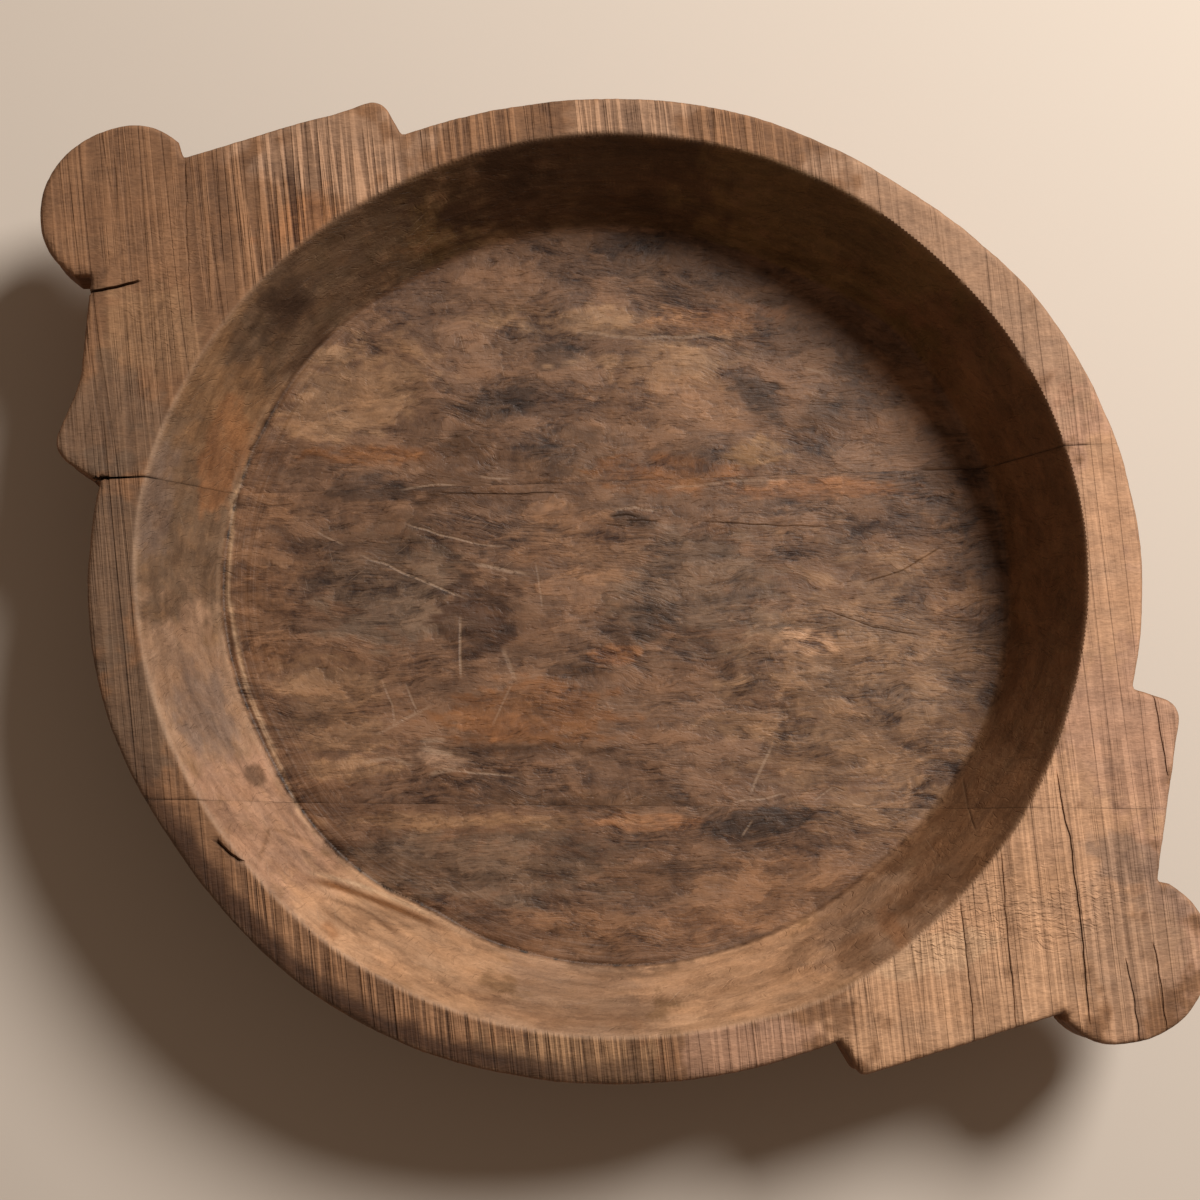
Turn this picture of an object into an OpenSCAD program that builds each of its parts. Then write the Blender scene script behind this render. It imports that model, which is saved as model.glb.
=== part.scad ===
// Carved wooden dough bowl with two lobed handles, made from three boards edge to edge.
// The origin is the middle of the flat base. +Z is up, and +X runs along the handles.
// What follows the timber is drawn along its grain, and then turned into place.

/* [Bowl] */
// Length from the tip of one handle to the tip of the other
overall_l = 682; // [660:1:720]
// Outside length of the rim, along the grain
rim_l = 509; // [490:1:525]
// Outside width of the rim, across the grain, where the timber has shrunk more
rim_w = 479; // [465:1:500]
// Height from the base to the rim
bowl_h = 95; // [85:1:120]
// How far the edge of the flat base lies in from the rim
base_inset = 48.5; // [40:0.5:56]
// Radius of the turned-under edge of the base
base_edge_r = 12; // [4:0.5:18]
// Height of the upright band round the top of the outside wall
rim_band = 14; // [10:1:22]
// Radius worn on the outer edge of the rim
rim_edge_r = 4; // [1:0.5:8]
// How far the outside wall bulges past a straight line from base to band
belly = 5; // [0:0.5:10]

/* [Hollow] */
// Width of the rim's flat top at the two ends of the grain
rim_end_t = 25.5; // [22:0.5:36]
// Width of the rim's flat top at the two sides
rim_side_t = 20.5; // [18:0.5:32]
// How far the inside wall leans out from the floor to the mouth
wall_run = 29; // [24:0.5:45]
// Thickness of the timber under the floor
floor_t = 27; // [24:0.5:32]
// Radius of the cove where the wall meets the floor
cove_r = 10; // [3:0.5:20]
// Radius worn on the inner edge of the rim
mouth_edge_r = 3; // [1:0.5:6]
// Shift of the mouth along the grain, off the middle of the bowl
mouth_shift_l = -3.5; // [-6:0.5:6]
// Shift of the mouth across the grain
mouth_shift_w = 4; // [-6:0.5:6]
// Shift of the floor along the grain
floor_shift_l = 1.5; // [-6:0.5:6]
// Shift of the floor across the grain
floor_shift_w = 3; // [-6:0.5:6]

/* [Handles] */
// Thickness of each handle, down from the level of the rim
handle_t = 34; // [25:1:45]
// Width of a handle over its two shoulders
shoulder_w = 229; // [210:1:245]
// Distance along the handle from the corner of its steep shoulder to the notch
steep_run = 41; // [36:1:52]
// Distance along the handle from the corner of its easy shoulder to the notch
easy_run = 57; // [44:1:64]
// Width of the neck between the two notches
neck_w = 77; // [72:1:84]
// Width of the round lobe at the end
lobe_d = 86; // [84:1:94]
// Length of the lobe, from the notches to its tip
lobe_l = 47.5; // [45:0.5:52]
// Radius of the lobe's back corners, beside the notches
lobe_corner_r = 7; // [4:0.5:9]
// Radius of the shoulders' corners
shoulder_r = 15; // [8:0.5:20]
// Radius of the one shoulder corner that is still crisp
crisp_r = 5; // [2:0.5:8]

/* [Boards] */
// Turn of the grain from the line of the handles, in degrees
grain_turn = 37; // [32:0.5:42]
// Distance from the middle of the bowl to the rear seam
rear_seam = 60; // [45:1:70]
// Tilt of the rear seam from the grain, in degrees
rear_seam_tilt = 2.4; // [-3:0.1:3]
// Distance from the middle of the bowl to the front seam
front_seam = 105; // [90:1:110]
// Tilt of the front seam from the grain, in degrees
front_seam_tilt = -0.5; // [-3:0.1:3]

/* [Dowels] */
// Diameter of a hidden dowel
dowel_d = 10; // [8:0.5:12]
// Length of a dowel, half of it in each board
dowel_l = 60; // [50:1:70]
// Chamfer on each end of a dowel
dowel_chamfer = 1; // [0.5:0.25:2]
// Distance between neighbouring dowels along a seam
dowel_pitch = 80; // [70:1:90]
// Gap round a dowel in its hole, which the glue fills
glue_gap = 0.1; // [0.05:0.05:0.3]
// Spare depth past each end of a dowel, for surplus glue
end_gap = 0.8; // [0.3:0.1:2]

/* [Hidden] */
dowel_count = 4;
rear_wood = [0.55, 0.38, 0.24];
middle_wood = [0.60, 0.43, 0.29];
front_wood = [0.52, 0.36, 0.24];
dowel_wood = [0.72, 0.57, 0.38];
round_fn = 144;
dowel_fn = 48;
// Degrees between points on a worn edge or a corner
arc_step = 10;
// Number of steps up the bulging outside wall
wall_steps = 5;
// How far a cut runs past what it cuts
overrun = 1;
// Side of a square that is wider than the whole bowl
reach = 2 * overall_l;
base_l = rim_l - 2 * base_inset;
mouth_l = rim_l - 2 * rim_end_t;
mouth_w = rim_w - 2 * rim_side_t;
floor_l = mouth_l - 2 * wall_run;
hollow_h = bowl_h - floor_t;
// Where each seam crosses the middle line, across the grain
rear_y = rear_seam;
front_y = -front_seam;
dowel_z = floor_t / 2;
hole_d = dowel_d + 2 * glue_gap;
hole_l = dowel_l + 2 * end_gap;
notch_x = overall_l / 2 - lobe_l;
lobe_r = lobe_d / 2;
lobe_x = overall_l / 2 - lobe_r;
// Centre of a back corner, which runs into the round of the lobe without a step
lobe_corner_x = notch_x + lobe_corner_r;
lobe_corner_y = sqrt(pow(lobe_r - lobe_corner_r, 2) - pow(lobe_corner_x - lobe_x, 2));

// Points of an arc, by its centre, radius, and first and last angles
function arc(centre, r, from, to) =
    let (steps = max(1, ceil(abs(to - from) / arc_step)))
    [for (i = [0 : steps]) let (a = from + (to - from) * i / steps) centre + r * [cos(a), sin(a)]];

function unit(v) = v / norm(v);

// Points that round off the corner at b, on the way from a to c
function rounded(a, b, c, r) =
    let (
        to_a = unit(a - b),
        to_c = unit(c - b),
        half = acos(to_a * to_c) / 2,
        centre = b + unit(to_a + to_c) * r / sin(half),
        first = b + to_a * r / tan(half) - centre,
        last = b + to_c * r / tan(half) - centre,
        from = atan2(first.y, first.x),
        sweep = atan2(first.x * last.y - first.y * last.x, first * last)
    )
    arc(centre, r, from, from + sweep);

// A point on the sloping outside wall, at a share of the way up from the base to the band
function wall_point(up_share) = [
    base_l / 2 + (rim_l - base_l) / 2 * up_share + belly * sin(180 * up_share),
    (bowl_h - rim_band) * up_share
];

// Half section of the timber that the bowl is carved from, run past at its foot and its top
function block_section() =
    let (
        foot = rounded([0, 0], wall_point(0), wall_point(1 / wall_steps), base_edge_r),
        edge = rounded(wall_point(1), [rim_l / 2, bowl_h], [0, bowl_h], rim_edge_r)
    )
    concat(
        [[0, -overrun], foot[0] - [0, overrun]],
        foot,
        [for (i = [2 : wall_steps]) wall_point(i / wall_steps)],
        edge,
        [edge[len(edge) - 1] + [0, overrun], [0, bowl_h + overrun]]
    );

// Half section of the hollow, with its floor at height zero, run past at its foot and its mouth
function hollow_section() =
    let (
        corner = [floor_l / 2, 0],
        lip = [mouth_l / 2, hollow_h],
        cove = rounded([0, 0], corner, lip, cove_r)
    )
    concat(
        [[0, -overrun], cove[0] - [0, overrun]],
        cove,
        rounded(corner, lip, [rim_l / 2, hollow_h], mouth_edge_r),
        [lip + [mouth_edge_r, overrun], [0, hollow_h + overrun]]
    );

// Outline of one handle from above, from inside the bowl's wall out to the lobe and back
function handle_outline(easy_r) =
    let (
        half_w = shoulder_w / 2,
        half_neck = neck_w / 2,
        inner_x = mouth_l / 4,
        turn = atan2(lobe_corner_y, lobe_corner_x - lobe_x)
    )
    concat(
        [[inner_x, -half_w]],
        rounded([inner_x, -half_w], [notch_x - easy_run, -half_w], [notch_x, -half_neck], easy_r),
        [[notch_x, -half_neck]],
        arc([lobe_corner_x, -lobe_corner_y], lobe_corner_r, -180, -turn),
        arc([lobe_x, 0], lobe_r, -turn, turn),
        arc([lobe_corner_x, lobe_corner_y], lobe_corner_r, turn, 180),
        [[notch_x, half_neck]],
        rounded([notch_x, half_neck], [notch_x - steep_run, half_w], [inner_x, half_w], shoulder_r),
        [[inner_x, half_w]]
    );

// Planes something off flat at two heights
module planed(low, high) {
    intersection() {
        children();
        translate([-reach / 2, -reach / 2, low]) cube([reach, reach, high - low]);
    }
}

// The bowl's outside, round in section and drawn in across the grain
module block() {
    planed(0, bowl_h)
        rotate([0, 0, grain_turn])
        scale([1, rim_w / rim_l, 1])
        rotate_extrude($fn = round_fn)
        polygon(block_section());
}

// The space inside, which leans because its mouth and its floor have different middles
module hollow() {
    planed(floor_t, bowl_h + overrun)
        rotate([0, 0, grain_turn])
        translate([floor_shift_l, floor_shift_w, floor_t])
        multmatrix([
            [1, 0, (mouth_shift_l - floor_shift_l) / hollow_h, 0],
            [0, mouth_w / mouth_l, (mouth_shift_w - floor_shift_w) / hollow_h, 0],
            [0, 0, 1, 0]
        ])
        rotate_extrude($fn = round_fn)
        polygon(hollow_section());
}

module handle(easy_r) {
    translate([0, 0, bowl_h - handle_t])
        linear_extrude(handle_t)
        polygon(handle_outline(easy_r));
}

// The whole carving, before it is told apart into boards
module carving() {
    difference() {
        union() {
            block();
            handle(crisp_r);
            rotate([0, 0, 180]) handle(shoulder_r);
        }
        hollow();
    }
}

// Puts something drawn along the X axis on a seam
module on_seam(seam_y, tilt) {
    rotate([0, 0, grain_turn]) translate([0, seam_y, 0]) rotate([0, 0, tilt]) children();
}

// Everything to one side of a seam, where side is 1 for the rear and -1 for the front
module beyond(seam_y, tilt, side) {
    on_seam(seam_y, tilt)
        translate([-reach / 2, side > 0 ? 0 : -reach, -overrun])
        cube([reach, reach, bowl_h + 2 * overrun]);
}

// Turns and moves something drawn up the Z axis to the place of a dowel, counted from one
module at_dowel(seam_y, tilt, count) {
    on_seam(seam_y, tilt)
        translate([(count - (dowel_count + 1) / 2) * dowel_pitch, 0, dowel_z])
        rotate([90, 0, 0])
        children();
}

module dowel_holes(seam_y, tilt) {
    for (count = [1 : dowel_count])
        at_dowel(seam_y, tilt, count)
            cylinder(d = hole_d, h = hole_l, center = true, $fn = dowel_fn);
}

module dowel(seam_y, tilt, count) {
    r = dowel_d / 2;
    half_l = dowel_l / 2;
    color(dowel_wood)
        at_dowel(seam_y, tilt, count)
        rotate_extrude($fn = dowel_fn)
        polygon([
            [0, -half_l],
            [r - dowel_chamfer, -half_l],
            [r, dowel_chamfer - half_l],
            [r, half_l - dowel_chamfer],
            [r - dowel_chamfer, half_l],
            [0, half_l]
        ]);
}

// The widest board, which holds the whole of the left handle
module rear_board() {
    color(rear_wood) difference() {
        intersection() {
            carving();
            beyond(rear_y, rear_seam_tilt, 1);
        }
        dowel_holes(rear_y, rear_seam_tilt);
    }
}

// The board between the two seams, with the root of the right handle
module middle_board() {
    color(middle_wood) difference() {
        carving();
        beyond(rear_y, rear_seam_tilt, 1);
        beyond(front_y, front_seam_tilt, -1);
        dowel_holes(rear_y, rear_seam_tilt);
        dowel_holes(front_y, front_seam_tilt);
    }
}

// The narrowest board, with the rest of the right handle
module front_board() {
    color(front_wood) difference() {
        intersection() {
            carving();
            beyond(front_y, front_seam_tilt, -1);
        }
        dowel_holes(front_y, front_seam_tilt);
    }
}

module rear_seam_dowel(count) {
    dowel(rear_y, rear_seam_tilt, count);
}

module front_seam_dowel(count) {
    dowel(front_y, front_seam_tilt, count);
}

rear_board();
middle_board();
front_board();
for (count = [1 : dowel_count])
    rear_seam_dowel(count);
for (count = [1 : dowel_count])
    front_seam_dowel(count);
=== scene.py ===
import math

import bpy
import numpy as np
from mathutils import Matrix, Vector, kdtree, noise
from mathutils.geometry import delaunay_2d_cdt


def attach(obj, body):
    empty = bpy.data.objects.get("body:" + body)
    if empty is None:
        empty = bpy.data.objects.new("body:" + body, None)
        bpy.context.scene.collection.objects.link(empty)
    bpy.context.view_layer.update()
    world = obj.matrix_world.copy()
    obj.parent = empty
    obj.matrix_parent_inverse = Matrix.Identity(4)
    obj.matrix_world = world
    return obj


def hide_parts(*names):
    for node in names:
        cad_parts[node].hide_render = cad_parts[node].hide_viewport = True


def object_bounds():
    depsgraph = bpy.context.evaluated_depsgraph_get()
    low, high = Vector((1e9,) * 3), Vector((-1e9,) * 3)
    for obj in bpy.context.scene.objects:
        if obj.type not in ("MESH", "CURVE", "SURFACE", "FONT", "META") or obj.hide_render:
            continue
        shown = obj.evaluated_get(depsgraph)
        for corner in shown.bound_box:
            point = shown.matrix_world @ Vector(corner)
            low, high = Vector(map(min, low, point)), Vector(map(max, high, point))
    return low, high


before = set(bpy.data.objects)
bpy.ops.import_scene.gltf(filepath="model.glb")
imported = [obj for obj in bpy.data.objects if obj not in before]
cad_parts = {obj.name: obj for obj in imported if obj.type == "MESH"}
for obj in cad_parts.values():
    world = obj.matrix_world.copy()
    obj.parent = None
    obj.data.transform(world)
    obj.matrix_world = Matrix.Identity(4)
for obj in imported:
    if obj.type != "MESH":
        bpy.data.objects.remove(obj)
cadLow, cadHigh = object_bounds()
print("frame loaded")

# Lengths are in millimetres: u along the grain, v across it and z up, from the middle of the base.
# grainTurn takes them to the model's own frame, where X runs from handle to handle.
grainTurn = math.radians(37)
millimetre = 0.001
rimLevel = cadHigh[2] / millimetre
halfLength = cadHigh[0] / millimetre


def turned(points, angle):
    c, s = math.cos(angle), math.sin(angle)
    points = np.asarray(points, float)
    return np.stack([points[:, 0] * c - points[:, 1] * s, points[:, 0] * s + points[:, 1] * c], 1)


def linearColour(code):
    # sRGB hex, as a paint chart gives it, to the linear values that Blender works in
    parts = [int(code[i : i + 2], 16) / 255 for i in (1, 3, 5)]
    return [p / 12.92 if p <= 0.04045 else ((p + 0.055) / 1.055) ** 2.4 for p in parts]


def smoothStep(low, high, x):
    t = np.clip((x - low) / (high - low), 0, 1)
    return t * t * (3 - 2 * t)


def softMin(a, b, width):
    h = np.clip(0.5 + 0.5 * (b - a) / width, 0, 1)
    return b + (a - b) * h - width * h * (1 - h)


def softMax(a, b, width):
    return -softMin(-a, -b, width)


def uneven(points, sizes, seed, octaves=2):
    # hand-made unevenness from -1 to 1, with a typical hump as long as sizes
    scaled = np.zeros((len(points), 3))
    scaled[:, : points.shape[1]] = points
    scaled = scaled / np.asarray(sizes, float) + seed * 17.31
    return np.array([noise.fractal(Vector(p), 0.8, 2.0, octaves) for p in scaled.tolist()])


# The camera stands where the photograph was taken from, almost straight above.
shot = {
    "eye": (-66.8, -120.5, 1245.0),
    "aim": (-10.6, -7.7, 95.0),
    "lens": 72.45,      # mm, on the sensor below
    "sensor": 36.0,
}


def placeCamera():
    eye, aim = (Vector((*turned([p[:2]], grainTurn)[0], p[2])) for p in (shot["eye"], shot["aim"]))
    forward = (aim - eye).normalized()
    acrossGrain = Vector((-math.sin(grainTurn), math.cos(grainTurn), 0))
    right = forward.cross(acrossGrain).normalized()
    up = right.cross(forward)
    camera = bpy.data.objects.new("camera", bpy.data.cameras.new("camera"))
    bpy.context.scene.collection.objects.link(camera)
    camera.data.lens = shot["lens"]
    camera.data.sensor_width = shot["sensor"]
    camera.data.clip_start = 0.05
    camera.matrix_world = Matrix.Translation(eye * millimetre) @ Matrix((right, up,
        -forward)).transposed().to_4x4()
    bpy.context.scene.camera = camera


def addNode(tree, kind, inputs=None, **settings):
    made = tree.nodes.new(kind)
    for name, value in settings.items():
        setattr(made, name, value)
    for key, value in (inputs or {}).items():
        if isinstance(value, bpy.types.NodeSocket):
            tree.links.new(value, made.inputs[key])
        else:
            made.inputs[key].default_value = value
    return made


# One soft lamp high on the photograph's upper right, and a weak warm fill from all round.
studio = {
    "lampAngle": 45.0,    # degrees round from the grain
    "lampRise": 46.0,     # degrees above the floor
    "lampAway": 2.3,     # m
    "lampSize": 0.87,     # m
    "lampShare": 0.85,    # of the light that a level surface gets
    "fillShare": 0.15,
    "lampColour": (1.0, 0.965, 0.92),
    "fillColour": (1.0, 0.72, 0.52),
    "floorHex": "#d6cabd",
    "floorSide": 6.0,     # m
}


def buildStudio():
    rise, round_ = math.radians(studio["lampRise"]), math.radians(studio["lampAngle"]) + grainTurn
    away = Vector((math.cos(rise) * math.cos(round_), math.cos(rise) * math.sin(round_), math.sin(rise)))
    lamp = bpy.data.lights.new("softLamp", "AREA")
    lamp.shape = "DISK"
    lamp.size = studio["lampSize"]
    # a level matt surface under this power shows its own colour
    lamp.energy = studio["lampShare"] * (math.pi * studio["lampAway"]) ** 2 / math.sin(rise)
    lamp.color = studio["lampColour"]
    holder = bpy.data.objects.new("softLamp", lamp)
    bpy.context.scene.collection.objects.link(holder)
    holder.location = away * studio["lampAway"]
    holder.rotation_euler = away.to_track_quat("Z", "Y").to_euler()
    world = bpy.data.worlds.new("fill")
    world.use_nodes = True
    world.node_tree.nodes["Background"].inputs["Color"].default_value = (*studio["fillColour"], 1)
    world.node_tree.nodes["Background"].inputs["Strength"].default_value = studio["fillShare"]
    bpy.context.scene.world = world
    bpy.context.scene.view_settings.view_transform = "Standard"
    half = studio["floorSide"] / 2
    mesh = bpy.data.meshes.new("studioFloor")
    mesh.from_pydata([(-half, -half, 0), (half, -half, 0), (half, half, 0), (-half, half, 0)], [],
        [(0, 1, 2, 3)])
    # matt pale board: no pattern, a trace of sheen
    paint = bpy.data.materials.new("mattPaleBoard")
    paint.use_nodes = True
    shader = paint.node_tree.nodes["Principled BSDF"]
    shader.inputs["Base Color"].default_value = (*linearColour(studio["floorHex"]), 1)
    shader.inputs["Roughness"].default_value = 0.85
    mesh.materials.append(paint)
    floor = bpy.data.objects.new("studioFloor", mesh)
    bpy.context.scene.collection.objects.link(floor)


placeCamera()
buildStudio()
print("camera, lamp and floor in place")

# Three ovals, none of them true: bulges are (degrees round from the grain, mm out, degrees of spread).
ovals = {
    "rim": {
        "middle": (-0.5, 1.5), "half": (254.4, 238.8),
        "bulges": [(55, -3.0, 14), (125, 2.5, 16), (213, -3.6, 14), (245, 0.8, 10), (305, 2.0, 12)],
    },
    "mouth": {
        "middle": (-2.0, 3.5), "half": (228.6, 218.5),
        "bulges": [(45, -1.0, 10), (120, -1.4, 12), (170, 2.5, 14), (216, -1.8, 16), (298, 3.0, 12),
            (345, -1.4, 12)],
    },
    "floor": {
        "middle": (2.0, 4.5), "half": (200.1, 187.7),
        "bulges": [(44, 2.4, 8), (67, -3.0, 14), (140, 2.2, 16), (203, -2.4, 12), (240, -3.6, 7),
                   (272, 2.4, 16), (314, -1.8, 8), (344, 1.3, 8)],
    },
}

# How the section runs, from the floor of the bowl over the rim and down the outside.
section = {
    "floorLevel": 27.0,
    "coveWidth": 7.0,       # height over which the wall turns into the floor
    "mouthWidth": 2.6,      # the same at the crisp inner edge of the rim
    "edgeRound": 3.2,       # worn radius of the outer edges
    "bandLevel": 81.0,      # foot of the upright band
    "baseInset": 48.5,
    "belly": 5.0,
    "underHandle": rimLevel - 34.0,
    "baseRound": 9.0,
}

# Each handle's corners, in the model's frame, as (x, y, radius). The lobe is (degrees, distance from its middle).
handles = {
    "right": {
        "lead": [(190, -104, 0), (214, -112, 2), (231.5, -119, 6), (291.9, -36, 0.8)],
        "lobeMiddle": halfLength - 43.2,
        "lobe": [(-94, 39), (-70, 41.2), (-40, 39.8), (-10, 41.6), (15, 43.4), (40, 45.2), (65, 46.6),
            (92, 44.6)],
        "trail": [(291.3, 42.1, 1.2), (251, 118.5, 12), (226, 110, 2), (195, 104, 0)],
    },
    "left": {
        "lead": [(-200, 107, 0), (-219, 112, 2), (-237, 119.5, 12), (-262, 84, 50), (-294.6, 37.8, 0.8)],
        "lobeMiddle": 43.4 - halfLength,
        "lobe": [(94, 42.0), (112, 44.8), (135, 44.0), (160, 42.8), (188, 43.2), (212, 43.8), (238, 44.2),
            (267, 40.8)],
        "trail": [(-293.5, -36.1, 1.2), (-266, -80, 50), (-256, -115.5, 14), (-222, -112, 2),
            (-190, -100, 0)],
    },
}

seams = {
    "rear": {"across": 60.0, "tilt": 2.4},
    "front": {"across": -105.0, "tilt": -0.5},
}
dowels = {"count": 4, "pitch": 80.0, "holeRadius": 5.1, "holeDepth": 30.8, "level": 13.5, "sides": 24}

# Splits and hairlines: (points, width, depth, how dark), in mm.
cracks = [
    ([(-260, 140), (-250, 141), (-239, 144), (-229, 146)], 1.5, 5.0, 1.0),
    ([(208, -84), (211, -103), (215, -122), (219, -155), (223, -214)], 0.7, 1.2, 0.6),
    ([(181, -125), (184, -165), (188, -216)], 0.6, 0.7, 0.3),
    ([(161, -149), (165, -185), (168, -226)], 0.6, 0.8, 0.4),
    ([(240, -177), (244, -195), (247, -219)], 0.6, 1.0, 0.6),
    ([(254, -168), (257, -188), (260, -214)], 0.6, 0.8, 0.45),
    ([(257, -50), (260, -70), (264, -94)], 0.6, 0.8, 0.45),
    ([(-212, 210), (-210, 165), (-207, 120)], 0.8, 0.4, 0.2),
    ([(-92, 53.4), (-58, 53.0), (-24, 54.0)], 0.6, 0.4, 0.55),
    ([(42, 39.4), (80, 37.6), (112, 37.2)], 0.6, 0.3, 0.4),
    ([(-2, 42), (6, 42.6), (12, 41.5)], 0.9, 0.4, 0.7),
    ([(5, 39.5), (14, 40), (23, 39)], 0.9, 0.4, 0.7),
    ([(-4, 37.6), (4, 37)], 0.8, 0.3, 0.6),
    ([(127, 8), (148, 15), (169, 28)], 0.6, 0.3, 0.4),
    ([(108, -6), (132, -14), (158, -19)], 0.6, 0.3, 0.35),
    ([(-192, -122), (-186, -128), (-180, -133)], 2.4, 2.0, 0.9),
    ([(176, -90), (175, -104), (175, -119)], 0.6, 0.5, 0.5),
]
# Pale scratches on the floor: (points, half width, strength).
scratches = [
    ([(-131, 23), (-101, 10), (-72, -2)], 0.5, 0.8),
    ([(-109, 39), (-86, 31), (-67, 27), (-53, 26)], 0.45, 0.75),
    ([(-73, 17), (-42, 12)], 0.8, 0.7), ([(-78, -8), (-78, -28), (-77, -42)], 0.6, 0.7),
    ([(-121, -70), (-106, -62), (-91, -54)], 0.7, 0.5),
    ([(-98, -76), (-80, -80)], 1.3, 0.7), ([(-90, -86), (-66, -89), (-46, -90)], 0.5, 0.7),
    ([(-128, -84), (-112, -81), (-98, -86)], 0.9, 0.5),
    ([(-110, 54), (-92, 58), (-78, 57)], 0.5, 0.6), ([(-70, 62), (-52, 61)], 0.5, 0.55),
    ([(-152, 34), (-136, 26)], 0.5, 0.5),
    ([(-118, -40), (-112, -54), (-110, -66)], 0.5, 0.45), ([(-105, -44), (-98, -60)], 0.5, 0.45),
    ([(-62, -66), (-50, -40)], 0.5, 0.35),
    ([(60, -103), (88, -99)], 0.5, 0.6), ([(70, -112), (64, -121)], 0.5, 0.5),
    ([(100, -104), (112, -95)], 0.45, 0.4),
    ([(-2, 45), (10, 47), (26, 44)], 0.6, 0.6), ([(-26, 138), (14, 134), (60, 137)], 0.8, 0.45),
    ([(96, 120), (112, 116)], 0.7, 0.45),
    ([(20, 56), (56, 60), (98, 62)], 0.6, 0.4), ([(-40, 20), (-36, -6)], 0.5, 0.35),
    ([(-57, -25), (-49, -44)], 1.0, 0.45),
    ([(81, -73), (74, -87), (68, -101)], 0.7, 0.6), ([(30, -52), (70, -58), (120, -52)], 0.6, 0.25),
    ([(-98, -72), (-84, -72)], 1.2, 0.6), ([(-94, -90), (-78, -86)], 1.0, 0.6),
]


def ovalRadius(name, angle):
    shape = ovals[name]
    a, b = shape["half"]
    radius = a * b / np.hypot(b * np.cos(angle), a * np.sin(angle))
    for place, amount, spread in shape["bulges"]:
        apart = (np.degrees(angle) - place + 180) % 360 - 180
        radius = radius + amount * np.exp(-((apart / spread) ** 2))
    return radius


def ovalPoint(name, angle, out=0.0):
    radius = ovalRadius(name, angle) + out
    middle = ovals[name]["middle"]
    return np.stack([middle[0] + radius * np.cos(angle), middle[1] + radius * np.sin(angle)], -1)


def outOf(name, points):
    # how far points lie outside an oval
    apart = points[:, :2] - ovals[name]["middle"]
    return np.hypot(apart[:, 0], apart[:, 1]) - ovalRadius(name, np.arctan2(apart[:, 1], apart[:, 0]))


def roundedPath(corners):
    path = [np.array(corners[0][:2], float)]
    for before, (x, y, radius), after in zip(corners, corners[1:-1], corners[2:]):
        corner = np.array((x, y), float)
        if radius == 0:
            path.append(corner)
            continue
        toBefore, toAfter = np.array(before[:2]) - corner, np.array(after[:2]) - corner
        reach = min(np.linalg.norm(toBefore), np.linalg.norm(toAfter))
        toBefore, toAfter = toBefore / np.linalg.norm(toBefore), toAfter / np.linalg.norm(toAfter)
        half = math.acos(np.clip(toBefore @ toAfter, -1, 1)) / 2
        tangent = min(radius / math.tan(half), reach * 0.45)
        for t in np.linspace(0, 1, 9):
            # a quadratic curve between the two tangent points, close to the arc
            first, last = corner + toBefore * tangent, corner + toAfter * tangent
            path.append((1 - t) ** 2 * first + 2 * t * (1 - t) * corner + t * t * last)
    path.append(np.array(corners[-1][:2], float))
    return np.array(path)


def spaced(path, step, closed=False):
    if closed:
        path = np.vstack([path, path[:1]])
    lengths = np.concatenate([[0], np.cumsum(np.linalg.norm(np.diff(path, axis=0), axis=1))])
    count = max(2, round(lengths[-1] / step) + 1)
    at = np.linspace(0, lengths[-1], count)
    if closed:
        at = at[:-1]
    return np.stack([np.interp(at, lengths, path[:, 0]), np.interp(at, lengths, path[:, 1])], 1)


def lobePoints(shape):
    angles = np.array([a for a, _ in shape["lobe"]], float)
    radii = np.array([r for _, r in shape["lobe"]], float)
    fine = np.linspace(angles[0], angles[-1], 90)
    smooth = np.convolve(np.pad(np.interp(fine, angles, radii), 6, "edge"), np.ones(13) / 13, "valid")
    turn = np.radians(fine)
    return [(shape["lobeMiddle"] + r * math.cos(t), r * math.sin(t), 0) for t, r in zip(turn, smooth)]


def handlePath(shape):
    # the part of a handle's outline that stands outside the rim
    path = roundedPath(shape["lead"] + lobePoints(shape) + shape["trail"])
    path = turned(spaced(path, 0.8), -grainTurn)
    clear = np.flatnonzero(outOf("rim", path) > 0)
    return path[clear[0] : clear[-1] + 1]


def bearing(point, name="rim"):
    return math.atan2(point[1] - ovals[name]["middle"][1], point[0] - ovals[name]["middle"][0])


def rimArc(fromPoint, toPoint):
    start, stop = bearing(fromPoint), bearing(toPoint)
    if stop < start:
        stop += 2 * math.pi
    return ovalPoint("rim", np.linspace(start, stop, 400)[1:-1])


def seamAxes(name):
    tilt = math.radians(seams[name]["tilt"])
    return np.array((math.cos(tilt), math.sin(tilt))), np.array((-math.sin(tilt), math.cos(tilt)))


def beyondSeam(name, points):
    return (points[:, :2] - (0, seams[name]["across"])) @ seamAxes(name)[1]


def alongSeam(name, points):
    return (points[:, :2] - (0, seams[name]["across"])) @ seamAxes(name)[0]


outlineStep = 1.25


def bowlOutline():
    right, left = handlePath(handles["right"]), handlePath(handles["left"])
    path = np.vstack([right, rimArc(right[-1], left[0]), left, rimArc(left[-1], right[0])])
    path = spaced(path, outlineStep, closed=True)
    # hewn by eye, so the outline is drawn in a little, here more and there less
    along = np.roll(path, -1, 0) - np.roll(path, 1, 0)
    outward = np.stack([along[:, 1], -along[:, 0]], 1) / np.linalg.norm(along, axis=1)[:, None]
    hewn = 0.45 + 0.4 * uneven(path, (26, 26, 26), 3) + 0.16 * uneven(path, (5, 5, 5), 4)
    path = path - outward * np.clip(hewn, 0, None)[:, None]
    for name in seams:
        side = beyondSeam(name, path)
        for i in np.flatnonzero(side * np.roll(side, -1) < 0):
            j = (i + 1) % len(path)
            share = side[i] / (side[i] - side[j])
            path[i if share < 0.5 else j] = path[i] + (path[j] - path[i]) * share
    return path, outward


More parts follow.
